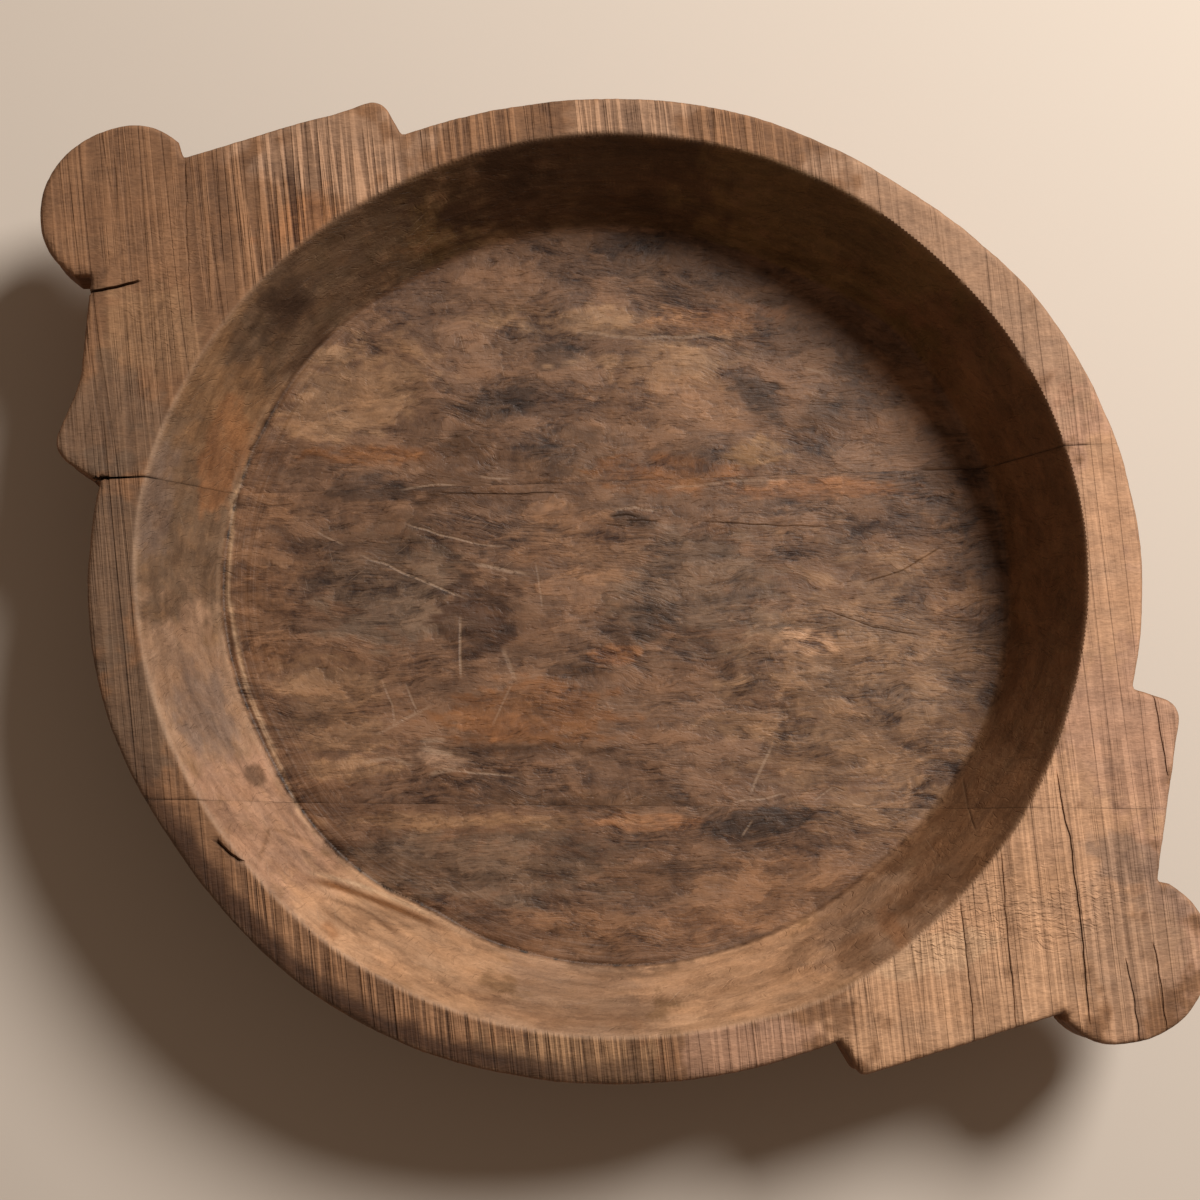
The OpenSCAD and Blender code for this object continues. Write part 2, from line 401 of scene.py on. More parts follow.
outline, outlineOutward = bowlOutline()
outlineTree = kdtree.KDTree(len(outline))
for i, (u, v) in enumerate(outline):
    outlineTree.insert((u, v, 0), i)
outlineTree.balance()


def toEdge(points):
    # distance to the outline, exact near it
    nearest = np.array([outlineTree.find((u, v, 0))[1] for u, v in points[:, :2].tolist()])
    best = np.full(len(points), 1e9)
    for step in (-1, 1):
        a, b = outline[nearest], outline[(nearest + step) % len(outline)]
        along = b - a
        share = np.clip(((points[:, :2] - a) * along).sum(1) / (along * along).sum(1), 0, 1)
        best = np.minimum(best, np.linalg.norm(points[:, :2] - a - along * share[:, None], axis=1))
    return best


def crackPath(points, width):
    path = spaced(np.array(points, float), max(0.9, width * 0.8))
    along = np.gradient(path, axis=0)
    sideways = np.stack([-along[:, 1], along[:, 0]], 1) / np.linalg.norm(along, axis=1)[:, None]
    return path + sideways * (0.5 * uneven(path, (9, 9, 9), 8))[:, None], sideways


crackPaths = [(*crackPath(points, width), width, depth, dark) for points, width, depth, dark in cracks]


def beside(path, points):
    # signed distance to a path, how far along it as a share, for each point
    apart, share = np.full(len(points), 99.0), np.zeros(len(points))
    for i, (a, b) in enumerate(zip(path[:-1], path[1:])):
        step = b - a
        t = np.clip(((points - a) @ step) / (step @ step), 0, 1)
        off = points - a - t[:, None] * step
        d = np.hypot(off[:, 0], off[:, 1]) * np.where(step[0] * off[:, 1] - step[1] * off[:, 0] < 0, -1, 1)
        closer = np.abs(d) < np.abs(apart)
        apart[closer], share[closer] = d[closer], ((i + t) / (len(path) - 1))[closer]
    return apart, share


def nearBox(path, points, margin):
    return np.flatnonzero(np.all((points > path.min(0) - margin) & (points < path.max(0) + margin), axis=1))


def crackDepth(points):
    # depth of the splits, and how dark they make the wood, at each point
    depth, ink = np.zeros(len(points)), np.zeros(len(points))
    for path, _, width, deepest, dark in crackPaths:
        near = nearBox(path, points[:, :2], 4)
        apart, share = beside(path, points[near, :2])
        apart = np.abs(apart)
        taper = smoothStep(0, 0.12, share) * smoothStep(0, 0.12, 1 - share)
        if path is crackPaths[0][0]:
            taper = smoothStep(0, 0.4, 1 - share)  # the split in the lobe runs out at its edge
        depth[near] = np.maximum(depth[near], deepest * taper * np.clip(1 - apart / (width / 2), 0, 1))
        ink[near] = np.maximum(ink[near],
            dark * taper * np.exp(-np.clip(apart - width / 4, 0, None) / 0.35))
    return depth, ink


def scratchLines(points):
    # signed distance to the nearest scratch and how strongly it shows
    side, show = np.full(len(points), 9.0), np.zeros(len(points))
    for corners, halfWidth, strength in scratches:
        path = spaced(np.array(corners, float), 3.0)
        path = path + 0.8 * uneven(path, (12, 12, 12), 9)[:, None] * (0.3, 1.0)
        near = nearBox(path, points, 3)
        apart, share = beside(path, points[near])
        taper = smoothStep(0, 0.2, share) * smoothStep(0, 0.2,
            1 - share) * (1 - smoothStep(1.5, 2.8, np.abs(apart)))
        closer = np.abs(apart) / halfWidth < np.abs(side[near])
        side[near[closer]] = (apart / halfWidth)[closer]
        show[near[closer]] = (taper * strength)[closer]
    return side, show


def topHeight(points, edge):
    # the whole upper surface: floor, wall, rim and handles
    outFloor, outMouth = outOf("floor", points), outOf("mouth", points)
    share = outFloor / np.maximum(outFloor - outMouth, 1)
    floor = section["floorLevel"] - 0.2 + 0.7 * uneven(points, (55, 34, 1), 11) + 0.22 * uneven(points,
        (16, 9, 1), 12)
    wall = section["floorLevel"] + (rimLevel - section["floorLevel"]) * share
    wall = wall + 1.6 * uneven(points, (36, 36, 1), 13) * np.clip(share * (1 - share) * 4, 0, 1)
    # a scraped groove where the tool turned at the foot of the wall, deepest on the left and in front
    turn = np.degrees(np.arctan2(points[:, 1], points[:, 0])) % 360
    grooved = smoothStep(120, 150, turn) * (1 - smoothStep(262, 300, turn))
    floor = floor - 1.3 * grooved * np.exp(-(((outFloor + 0.9) / 1.1) ** 2))
    rim = rimLevel - 0.35 + 0.3 * uneven(points, (60, 60, 1), 14)
    cove = section["coveWidth"] * (1 - 0.55 * grooved)
    height = softMin(softMax(wall, floor, cove), rim, section["mouthWidth"])
    radius = section["edgeRound"] * (1 + 0.45 * uneven(points, (30, 30, 1), 15))
    fall = radius - np.sqrt(np.clip(radius**2 - np.clip(radius - edge, 0, None) ** 2, 0, None))
    return np.minimum(height - fall, rimLevel - 0.02)


def underHeight(points, edge):
    # the whole lower surface: flat base, bulging wall and the undersides of the handles
    steps = np.linspace(0, 1, 60)
    inset = section["baseInset"] * (1 - steps) - section["belly"] * np.sin(math.pi * steps)
    inRim = -outOf("rim", points)
    wall = np.interp(inRim, inset[::-1], (section["bandLevel"] * steps)[::-1])
    wall = np.where(inRim > section["baseInset"], (section["baseInset"] - inRim) * 1.3, wall)
    outer = softMax(wall, np.zeros(len(points)), section["baseRound"])
    radius = section["edgeRound"] * 0.8
    fall = radius - np.sqrt(np.clip(radius**2 - np.clip(radius - edge, 0, None) ** 2, 0, None))
    under = section["underHandle"] + 0.4 + 0.35 * uneven(points, (30, 30, 1), 21) + fall
    model = turned(points[:, :2], grainTurn)
    inHandle = smoothStep(-2.5, 2.5, 112 - np.abs(model[:, 1])) * (np.abs(model[:, 0]) > 120)
    inHandle = np.maximum(inHandle, inRim < 0.2)
    joined = softMin(outer, np.where(inRim < 0, under, under - fall), 7.0)
    joined = np.where(inRim < -3, under, np.minimum(joined, under))
    onBand = (edge < 0.05) & (inRim > -0.9) & (np.abs(model[:, 1]) > 108)
    return np.where(onBand, np.minimum(outer, section["bandLevel"]), outer + (joined - outer) * inHandle)


# How closely each part of the surface is covered with points.
mesh = {
    "sawnAcross": 0.85, "sawnAlong": 2.2, "sawSlant": 6.0,
    "wallColumns": 680, "wallRows": 33, "floorStep": 1.4,
    "seamStep": 1.0, "seamClear": 2.1, "edgeRows": (0.4, 1.0, 1.9, 3.1, 4.6), "edgeClear": 5.3,
    "underColumns": 460, "underRows": 30, "underStep": 3.4, "baseStep": 7.0,
    "sideRows": 8,
}


def honeycomb(step):
    rows = np.arange(-300, 300, step * 0.866)
    columns = np.arange(-300, 300, step)
    u, v = np.meshgrid(columns, rows)
    u = u + (np.arange(len(rows)) % 2)[:, None] * step / 2
    return np.stack([u.ravel(), v.ravel()], 1)


def clearOf(points, seamClear, crackClear=True):
    keep = np.ones(len(points), bool)
    for name in seams:
        keep &= np.abs(beyondSeam(name, points)) > seamClear
    if crackClear:
        for path, _, width, *_ in crackPaths:
            near = np.all((points > path.min(0) - 3) & (points < path.max(0) + 3), axis=1)
            for i in np.flatnonzero(near & keep):
                keep[i] = np.linalg.norm(path - points[i], axis=1).min() > width / 2 + 0.75
    return points[keep]


def insetRows(distances):
    rows = []
    for d in distances:
        row = outline - outlineOutward * d
        rows.append(row[toEdge(row) > d * 0.93])
    return np.vstack(rows)


def seamPoints(name, step):
    ends = [i for i in range(len(outline)) if abs(beyondSeam(name, outline[i : i + 1])[0]) < 1e-6]
    ends.sort(key=lambda i: alongSeam(name, outline[i : i + 1])[0])
    first, last = outline[ends[0]], outline[ends[-1]]
    count = round(np.linalg.norm(last - first) / step)
    share = np.linspace(0, 1, count + 1)[1:-1, None]
    return first + (last - first) * share, ends[0], ends[-1]


def triangulated(fixed, loose):
    # fixed holds chains of points that stay joined, loose the points between them
    points, edges = [outline], [(i, (i + 1) % len(outline)) for i in range(len(outline))]
    count = len(outline)
    for chain, firstEnd, lastEnd in fixed:
        ids = list(range(count, count + len(chain)))
        points.append(chain)
        count += len(chain)
        if firstEnd is not None:
            ids = [firstEnd] + ids + [lastEnd]
        edges += list(zip(ids, ids[1:]))
    points.append(loose)
    points = np.vstack(points)
    made = delaunay_2d_cdt([Vector(p) for p in points.tolist()], edges, [], 1, 1e-5)
    place = np.array([tuple(p) for p in made[0]])
    where = np.full(len(outline), -1)
    for i, origins in enumerate(made[3]):
        for origin in origins:
            if origin < len(outline):
                where[origin] = i
    place[where] = outline
    return place, np.array([f for f in made[2] if len(f) == 3]), where


def topPoints():
    slant = math.radians(mesh["sawSlant"])
    across, along = np.arange(-330, 330, mesh["sawnAcross"]), np.arange(-330, 330, mesh["sawnAlong"])
    a, b = np.meshgrid(across, along)
    sawn = turned(np.stack([a.ravel(), (b + 0.5 * mesh["sawnAlong"] * (np.arange(len(across)) % 2)).ravel()], 1), slant)
    model = turned(sawn, grainTurn)
    inHandle = (np.abs(model[:, 0]) > 150) & (np.abs(model[:, 0]) < 345) & (np.abs(model[:, 1]) < 122)
    sawn = sawn[(outOf("mouth", sawn) > 3.7) & ((outOf("rim", sawn) < -5) | inHandle)]
    sawn = sawn[toEdge(sawn) > mesh["edgeClear"]]
    angles = np.linspace(0, 2 * math.pi, mesh["wallColumns"], endpoint=False)
    rows = [ovalPoint("floor", angles + (k % 2) * 0.004, out) for k,
        out in enumerate((-4.6, -3.2, -2.2, -1.4, -0.7))]
    for k in range(mesh["wallRows"] + 1):
        share = k / mesh["wallRows"]
        shifted = angles + (k % 2) * 0.5 * (angles[1] - angles[0])
        rows.append(ovalPoint("floor", shifted) * (1 - share) + ovalPoint("mouth", shifted) * share)
    rows += [ovalPoint("mouth", angles, out) for out in (0.6, 1.3, 2.2, 3.1)]
    floor = honeycomb(mesh["floorStep"])
    floor = floor[outOf("floor", floor) < -5.6]
    loose = [clearOf(np.vstack([sawn, *rows, floor]), mesh["seamClear"]),
        clearOf(insetRows(mesh["edgeRows"]), 0.45)]
    fixed = []
    for name in seams:
        chain, firstEnd, lastEnd = seamPoints(name, mesh["seamStep"])
        fixed.append((chain, firstEnd, lastEnd))
        for out in (-1.3, -0.55, 0.55, 1.3):
            row = chain + seamAxes(name)[1] * out
            loose.append(row[toEdge(row) > 5.3])
    for path, sideways, width, *_ in crackPaths:
        # the run of points about the middle that stays clear of the outline
        tooNear = np.flatnonzero(toEdge(path) < 0.9)
        first = max(tooNear[tooNear < len(path) // 2], default=0) + 1
        last = min(tooNear[tooNear >= len(path) // 2], default=len(path) - 1)
        path, sideways = path[first:last], sideways[first:last]
        fixed.append((path, None, None))
        for out in (-0.5, 0.5, -0.5 - 0.6 / width, 0.5 + 0.6 / width):
            loose.append(path + sideways * (width * out))
    return triangulated(fixed, np.vstack(loose))


def underPoints():
    angles = np.linspace(0, 2 * math.pi, mesh["underColumns"], endpoint=False)
    rows = []
    for k in range(mesh["underRows"]):
        inset = 1.2 + (section["baseInset"] + 14) * k / mesh["underRows"]
        shifted = angles + (k % 2) * 0.5 * (angles[1] - angles[0])
        rows.append(ovalPoint("rim", shifted, -inset))
    base = honeycomb(mesh["baseStep"])
    base = base[outOf("rim", base) < -(section["baseInset"] + 18)]
    under = honeycomb(mesh["underStep"])
    under = under[outOf("rim", under) > 1.5]
    under = under[toEdge(under) > 4.2]
    rows = np.vstack(rows)
    rows = rows[toEdge(rows) > 0.9]
    loose = [clearOf(np.vstack([rows, base, under]), 1.5, False),
        clearOf(insetRows((0.5, 1.3, 2.6)), 0.8, False)]
    fixed = [seamPoints(name, 2.0) for name in seams]
    return triangulated(fixed, np.vstack(loose))


def sideColumn(topZ, underZ):
    # points down the upright side, each a little hollowed by the adze
    steps = np.linspace(0, 1, mesh["sideRows"] + 1)[1:-1]
    rows = []
    for step in steps:
        z = topZ + (underZ - topZ) * step
        place = np.stack([outline[:, 0], outline[:, 1], z], 1)
        hewn = 0.35 + 0.4 * uneven(place, (17, 17, 12), 31) + 0.15 * uneven(place, (4, 4, 6), 32)
        inward = np.clip(hewn, 0, None) * math.sin(math.pi * step) ** 0.5
        for name in seams:
            inward[np.abs(beyondSeam(name, outline)) < 1e-6] = 0
        rows.append(np.column_stack([outline - outlineOutward * inward[:, None], z]))
    return rows


def seamGap(name, along):
    # the joint has opened at its left end, beside the handle's lower corner
    gap = 0.08 + 0.05 * np.sin(along / 9)
    if name == "rear":
        gap = gap + 1.7 * (1 - smoothStep(-252, -226, along))
    return gap


# How open each seam shows along its length: (from, to, strength), in mm along the seam.
seamShows = {
    "rear": [(-260, -225, 1.0), (-234, -192, 0.3), (-100, -20, 0.1), (160, 190, 0.4), (196, 226, 0.7)],
    "front": [(-228, -198, 0.45), (-200, -60, 0.14), (-60, 150, 0.06), (150, 270, 0.15)],
}


def seamLine(name, points, width):
    along = alongSeam(name, points)
    strength = np.full(len(points), 0.03)
    for start, stop, amount in seamShows[name]:
        strength = np.maximum(strength, amount * smoothStep(start - 4, start,
            along) * (1 - smoothStep(stop, stop + 4, along)))
    return strength * np.exp(-np.abs(beyondSeam(name, points)) / width)


def buildShell():
    topPlan, topFaces, topEnds = topPoints()
    underPlan, underFaces, underEnds = underPoints()
    edge = toEdge(topPlan)
    edge[topEnds] = 0
    splitDepth, splitInk = crackDepth(topPlan)
    topZ = topHeight(topPlan, edge) - splitDepth
    for name in seams:
        topZ = topZ - 0.8 * seamLine(name, topPlan, 0.4)
    underEdge = toEdge(underPlan)
    underEdge[underEnds] = 0
    underZ = underHeight(underPlan, underEdge)
    sides = sideColumn(topZ[topEnds], underZ[underEnds])
    places = np.vstack([np.column_stack([topPlan, topZ]), np.column_stack([underPlan, underZ]), *sides])
    firstUnder = len(topPlan)
    firstSide = firstUnder + len(underPlan)
    columns = [topEnds]
    columns += [firstSide + k * len(outline) + np.arange(len(outline)) for k in range(len(sides))]
    columns.append(firstUnder + underEnds)
    columns = np.array(columns)
    faces = [topFaces, underFaces[:, ::-1] + firstUnder]
    middles = [places[f].mean(1)[:, :2] for f in faces]
    after = np.roll(np.arange(len(outline)), -1)
    for upper, lower in zip(columns, columns[1:]):
        faces.append(np.stack([upper, lower, lower[after]], 1))
        faces.append(np.stack([upper, lower[after], upper[after]], 1))
        middles += [(outline + outline[after]) / 2] * 2
    faces = np.vstack(faces)
    zones = {
        "top": np.arange(len(places)) < firstUnder,
        "edge": np.concatenate([edge, np.zeros(len(places) - len(edge))]),
        "ink": np.concatenate([splitInk, np.zeros(len(places) - len(splitInk))]),
        "faceMiddle": np.vstack(middles),
    }
    zones["edge"][firstUnder:firstSide] = underEdge
    return places, faces, columns, zones, firstUnder, firstSide


def seamFaces(name, places, columns, firstUnder, firstSide):
    # the glued face, seen from in front, and the dowel holes bored into it from either side
    onSeam = np.abs(beyondSeam(name, places)) < 1e-4
    onSeam[firstSide:] = False
    ids = np.flatnonzero(onSeam)
    ids = ids[np.argsort(alongSeam(name, places[ids]))]
    topIds, underIds = ids[ids < firstUnder], ids[ids >= firstUnder]
    leftColumn = columns[1:-1, np.flatnonzero(columns[0] == topIds[0])[0]]
    rightColumn = columns[1:-1, np.flatnonzero(columns[0] == topIds[-1])[0]]
    loop = np.concatenate([underIds, rightColumn[::-1], topIds[::-1], leftColumn])
    flat = np.stack([alongSeam(name, places[loop]), places[loop, 2]], 1).tolist()
    edges = [(i, (i + 1) % len(loop)) for i in range(len(loop))]
    turn = np.linspace(0, 2 * math.pi, dowels["sides"], endpoint=False)
    centres = [(k - (dowels["count"] - 1) / 2) * dowels["pitch"] for k in range(dowels["count"])]
    for centre in centres:
        first = len(flat)
        flat += [(centre + dowels["holeRadius"] * math.cos(t),
            dowels["level"] + dowels["holeRadius"] * math.sin(t))
                 for t in turn]
        edges += [(first + i, first + (i + 1) % len(turn)) for i in range(len(turn))]
    made = delaunay_2d_cdt([Vector(p) for p in flat], edges, [], 1, 1e-6)
    origin = [o[0] for o in made[3]]
    flat = np.array(flat)
    kept = []
    for face in made[2]:
        ring = [origin[i] for i in face]
        middle = flat[ring].mean(0)
        if all(math.hypot(middle[0] - c, middle[1] - dowels["level"]) > dowels["holeRadius"] for c in centres):
            kept.append(ring)
    return loop, flat[len(loop) :], kept, len(turn), len(centres)


def boardParts(board, places, faces, columns, firstUnder, firstSide):
    middle = shellZones["faceMiddle"]
    rear, front = beyondSeam("rear", middle) > 0, beyondSeam("front", middle) < 0
    mine = {"rear": rear, "front": front, "middle": ~rear & ~front}[board]
    ownFaces = [faces[mine]]
    ownPlaces = [places]
    total = len(places)
    moved = np.zeros((len(places), 2))
    for name, side in {"rear": [("rear", 1)], "middle": [("rear", -1), ("front", 1)],
        "front": [("front", -1)]}[board]:
        loop, holes, kept, ringSize, ringCount = seamFaces(name, places, columns, firstUnder, firstSide)
        along, normal = seamAxes(name)
        centre = np.array((0, seams[name]["across"]))
        rim = np.column_stack([centre + holes[:, :1] * along, holes[:, 1]])
        deep = rim + np.append(normal * side * dowels["holeDepth"], 0)
        caps = []
        faceIds = np.concatenate([loop, total + np.arange(len(rim))])
        flatFaces = faceIds[np.array(kept)]
        tubes = []
        for k in range(ringCount):
            a = total + k * ringSize + np.arange(ringSize)
            b, cap = a + len(rim), total + 2 * len(rim) + k
            a2, b2 = np.roll(a, -1), np.roll(b, -1)
            tubes += [np.stack([a, a2, b2], 1), np.stack([a, b2, b], 1),
                np.stack([b, b2, np.full(ringSize, cap)], 1)]
            caps.append(deep[k * ringSize : (k + 1) * ringSize].mean(0))
        seamPart = np.vstack([flatFaces, *tubes])
        ownFaces.append(seamPart if side > 0 else seamPart[:, ::-1])
        ownPlaces += [rim, deep, np.array(caps)]
        count = 2 * len(rim) + len(caps)
        total += count
        moved[loop] += (normal * side)[None, :] * (seamGap(name, alongSeam(name, places[loop])) / 2)[:,
            None]
        moved = np.vstack([moved, np.zeros((count, 2))])
    ownPlaces, ownFaces = np.vstack(ownPlaces), np.vstack(ownFaces)
    ownPlaces[:, :2] += moved
    used = np.unique(ownFaces)
    renumber = np.full(len(ownPlaces), -1)
    renumber[used] = np.arange(len(used))
    return ownPlaces[used], renumber[ownFaces], used


shellPlaces, shellFaces, shellColumns, shellZones, firstUnder, firstSide = buildShell()
print("surface laid out:", len(shellPlaces), "points,", len(shellFaces), "faces")


def meshObject(name, places, faces):
    made = bpy.data.meshes.new(name)
    made.vertices.add(len(places))
    made.vertices.foreach_set("co", np.asarray(places, np.float32).ravel())
    made.loops.add(len(faces) * 3)
    made.loops.foreach_set("vertex_index", faces.astype(np.int32).ravel())
    made.polygons.add(len(faces))
    made.polygons.foreach_set("loop_start", np.arange(0, len(faces) * 3, 3, dtype=np.int32))
    made.update(calc_edges=True)
    made.polygons.foreach_set("use_smooth", np.ones(len(faces), bool))
    piece = bpy.data.objects.new(name, made)
    bpy.context.scene.collection.objects.link(piece)
    return piece


def buildBoard(board):
    places, faces, used = boardParts(board, shellPlaces, shellFaces, shellColumns, firstUnder, firstSide)
    plan = turned(places[:, :2], grainTurn)
    piece = meshObject(board + "BoardCarved", np.column_stack([plan, places[:, 2]]) * millimetre, faces)
    return piece, places, used


# Tones of bare aged timber, from the darkest to the palest.
timberTones = {
    "char": "#3a2416", "soot": "#3a2a20", "darkRust": "#48301e", "umber": "#543c2a", "drab": "#645040",
        "earth": "#6a4e3a",
    "rust": "#704828", "olive": "#705838", "slate": "#786458", "brown": "#7c5a40", "tan": "#88684c",
    "amber": "#946440", "honey": "#906c48", "fawn": "#987860", "buff": "#a8826a", "peach": "#b48c6c",
        "bone": "#c4a484",
}

# Stains, laid one over another. On the floor and the sawn rim each is
# (u, v, half length, half width, degrees turned, tone, strength), in mm.
floorStains = [
    (130, -45, 65, 75, 0, "tan", 0.55), (-80, -135, 85, 20, 0, "drab", 0.75),
    (-110, 0, 40, 30, 0, "drab", 0.8),
    (40, 5, 45, 30, 0, "drab", 0.6), (-20, 25, 30, 22, 0, "brown", 0.7), (0, 140, 60, 10, 0, "tan", 0.8),
    (50, 145, 35, 8, 5, "amber", 0.45), (-45, 155, 22, 8, 0, "umber", 0.6),
    (-130, 105, 40, 26, 25, "tan", 0.65),
    (-30, 125, 16, 8, 10, "soot", 0.8), (-55, 100, 20, 9, 25, "soot", 0.8),
    (-70, 90, 16, 12, 0, "umber", 0.7),
    (25, 120, 45, 12, 0, "tan", 0.6), (25, 98, 45, 14, 0, "brown", 0.6),
    (75, 105, 20, 9, -45, "soot", 0.75),
    (105, 92, 16, 12, 0, "umber", 0.7), (150, 105, 25, 16, -40, "brown", 0.6),
    (70, 77, 16, 8, 0, "honey", 0.7),
    (-25, 72, 24, 16, 0, "umber", 0.7), (25, 62, 40, 10, 0, "rust", 0.8),
    (100, 56, 45, 6, 0, "amber", 0.55),
    (-128, 73, 38, 5, 0, "rust", 0.8), (-125, 55, 24, 7, 0, "soot", 0.75),
    (-80, 60, 20, 20, 0, "darkRust", 0.8),
    (10, 40, 10, 4, -10, "soot", 0.8), (-125, 25, 28, 16, 10, "umber", 0.6),
    (-70, -10, 20, 26, 0, "char", 0.85),
    (20, -12, 12, 11, 0, "soot", 0.75), (-20, -36, 15, 5, 0, "darkRust", 0.9),
    (-2, -30, 14, 5, 8, "amber", 0.7),
    (-42, -60, 46, 20, 0, "rust", 0.7), (-62, -65, 18, 8, 0, "amber", 0.35),
    (-88, -80, 14, 5, 0, "fawn", 0.6),
    (-135, -86, 26, 6, 0, "tan", 0.7), (-42, -77, 46, 4, 0, "darkRust", 0.7),
    (-10, -103, 64, 4, 0, "umber", 0.85),
    (-80, -113, 76, 4, 0, "tan", 0.7), (15, -113, 32, 4, 0, "amber", 0.5),
    (72, -113, 28, 8, 8, "soot", 0.9),
    (15, -139, 40, 8, 0, "umber", 0.5), (90, -147, 55, 20, 5, "brown", 0.7),
    (10, -167, 60, 10, 0, "brown", 0.7),
    (98, -23, 16, 6, 0, "peach", 0.7), (175, 38, 12, 10, 0, "soot", 0.75),
    (170, 15, 16, 32, 0, "brown", 0.6),
    (-177, 5, 16, 56, 0, "brown", 0.6), (-140, -55, 26, 24, 0, "tan", 0.5),
]
# On the wall each is (degrees round, share of the way up, half length in mm, half share, tone, strength).
wallStains = [
    (55, 0.5, 300, 1.5, "olive", 1.0), (5, 0.5, 150, 1.5, "brown", 0.9), (95, 0.5, 75, 1.5, "umber", 0.9),
    (135, 0.5, 60, 1.2, "drab", 0.8), (175, 0.5, 65, 1.4, "drab", 0.8), (195, 0.5, 50, 1.4, "fawn", 0.9),
    (215, 0.5, 50, 1.4, "buff", 0.8), (240, 0.5, 65, 1.4, "peach", 0.75), (265, 0.5, 45, 1.4, "fawn", 0.9),
    (290, 0.5, 60, 1.4, "peach", 0.9), (310, 0.5, 40, 1.4, "fawn", 0.8), (325, 0.5, 45, 1.4, "brown", 0.9),
    (108, 0.75, 35, 0.6, "char", 0.6), (140, 0.6, 18, 0.3, "soot", 0.6), (160, 0.3, 30, 0.3, "amber", 0.6),
    (170, 0.85, 25, 0.25, "slate", 0.6), (197, 0.5, 26, 0.35, "slate", 0.7),
    (207, 0.25, 7, 0.12, "umber", 0.8),
    (232, 0.8, 40, 0.2, "peach", 0.7), (262, 0.75, 40, 0.15, "brown", 0.5),
    (303, 0.7, 10, 0.25, "brown", 0.7),
]
# Marks along a path on the wall: (points, half width, tone, strength).
wallMarks = [
    ([(-158, -139), (-136, -145), (-108, -156), (-80, -168)], 1.5, "rust", 0.95),
    ([(-156, -136), (-128, -144), (-82, -163)], 0.8, "bone", 0.7),
    ([(-147, -148), (-124, -156), (-102, -171)], 1.0, "brown", 0.75),
    ([(-147, -152), (-128, -165), (-120, -174)], 0.9, "brown", 0.65),
    ([(-142, -160), (-134, -169)], 2.2, "amber", 0.6),
    ([(-172, -137), (-170, -116), (-148, -124)], 0.9, "brown", 0.6),
    ([(-168, 160), (-140, 182), (-96, 200)], 7.0, "umber", 0.6),
    ([(-166, 137), (-156, 143)], 5.5, "soot", 0.8),
    ([(-143, 139), (-157, 123), (-170, 109)], 2.2, "char", 0.9),
    ([(-179, 87), (-193, 49), (-195, 0), (-185, -47), (-157, -110), (-140, -132)], 1.1, "bone", 0.6),
    ([(130, -160), (137, -177)], 4.0, "amber", 0.5),
]
sawnStains = [
    (260, 0, 80, 210, 0, "buff", 1.0), (170, 170, 100, 65, -45, "fawn", 0.9),
    (0, 232, 130, 24, 0, "brown", 0.9),
    (10, 232, 30, 20, 0, "fawn", 0.7), (235, 15, 25, 60, 0, "peach", 0.7),
    (-140, 210, 45, 26, 0, "fawn", 0.7),
    (-155, 178, 20, 12, 30, "amber", 0.5), (-245, 185, 45, 48, 0, "brown", 0.8),
    (-225, 120, 24, 24, 0, "tan", 0.6),
    (-245, 75, 25, 30, 0, "drab", 0.6), (-243, 10, 18, 50, 0, "drab", 0.7),
    (-230, -65, 22, 40, 0, "drab", 0.7),
    (-190, -135, 35, 25, -40, "brown", 0.8), (-140, -185, 40, 25, -30, "brown", 0.8),
    (-85, -213, 38, 18, -12, "brown", 0.8),
    (-20, -227, 50, 16, 0, "tan", 0.8), (60, -221, 38, 18, 8, "buff", 0.8),
    (150, -190, 60, 60, 30, "peach", 0.9),
    (205, -150, 60, 70, 0, "peach", 0.8), (250, -70, 30, 32, 0, "buff", 0.8),
    (246, -132, 22, 13, -20, "slate", 0.55),
    (262, -151, 16, 12, 0, "slate", 0.5), (245, -180, 26, 30, 0, "fawn", 0.7),
    (150, -176, 34, 9, 12, "bone", 0.4),
]
outerStains = [(-180, -120, 150, 120, 0, "umber", 0.7), (160, 120, 150, 120, 0, "brown", 0.8),
    (200, -150, 110, 90, 0, "brown", 0.6)]
groundTones = {"floor": "earth", "wall": "tan", "sawn": "brown", "outer": "rust"}


def stainWeight(du, dv, halfLength, halfWidth, degrees, ragged):
    turn = math.radians(degrees)
    along = (du * math.cos(turn) + dv * math.sin(turn)) / halfLength
    across = (dv * math.cos(turn) - du * math.sin(turn)) / halfWidth
    return 1 - smoothStep(0.72, 1.14, np.hypot(along, across) + ragged)


def groundTone(name, count):
    return np.tile(linearColour(timberTones[groundTones[name]]), (count, 1))


def laidOver(tone, weight, colour):
    return tone + (np.array(linearColour(timberTones[colour])) - tone) * weight[:, None]


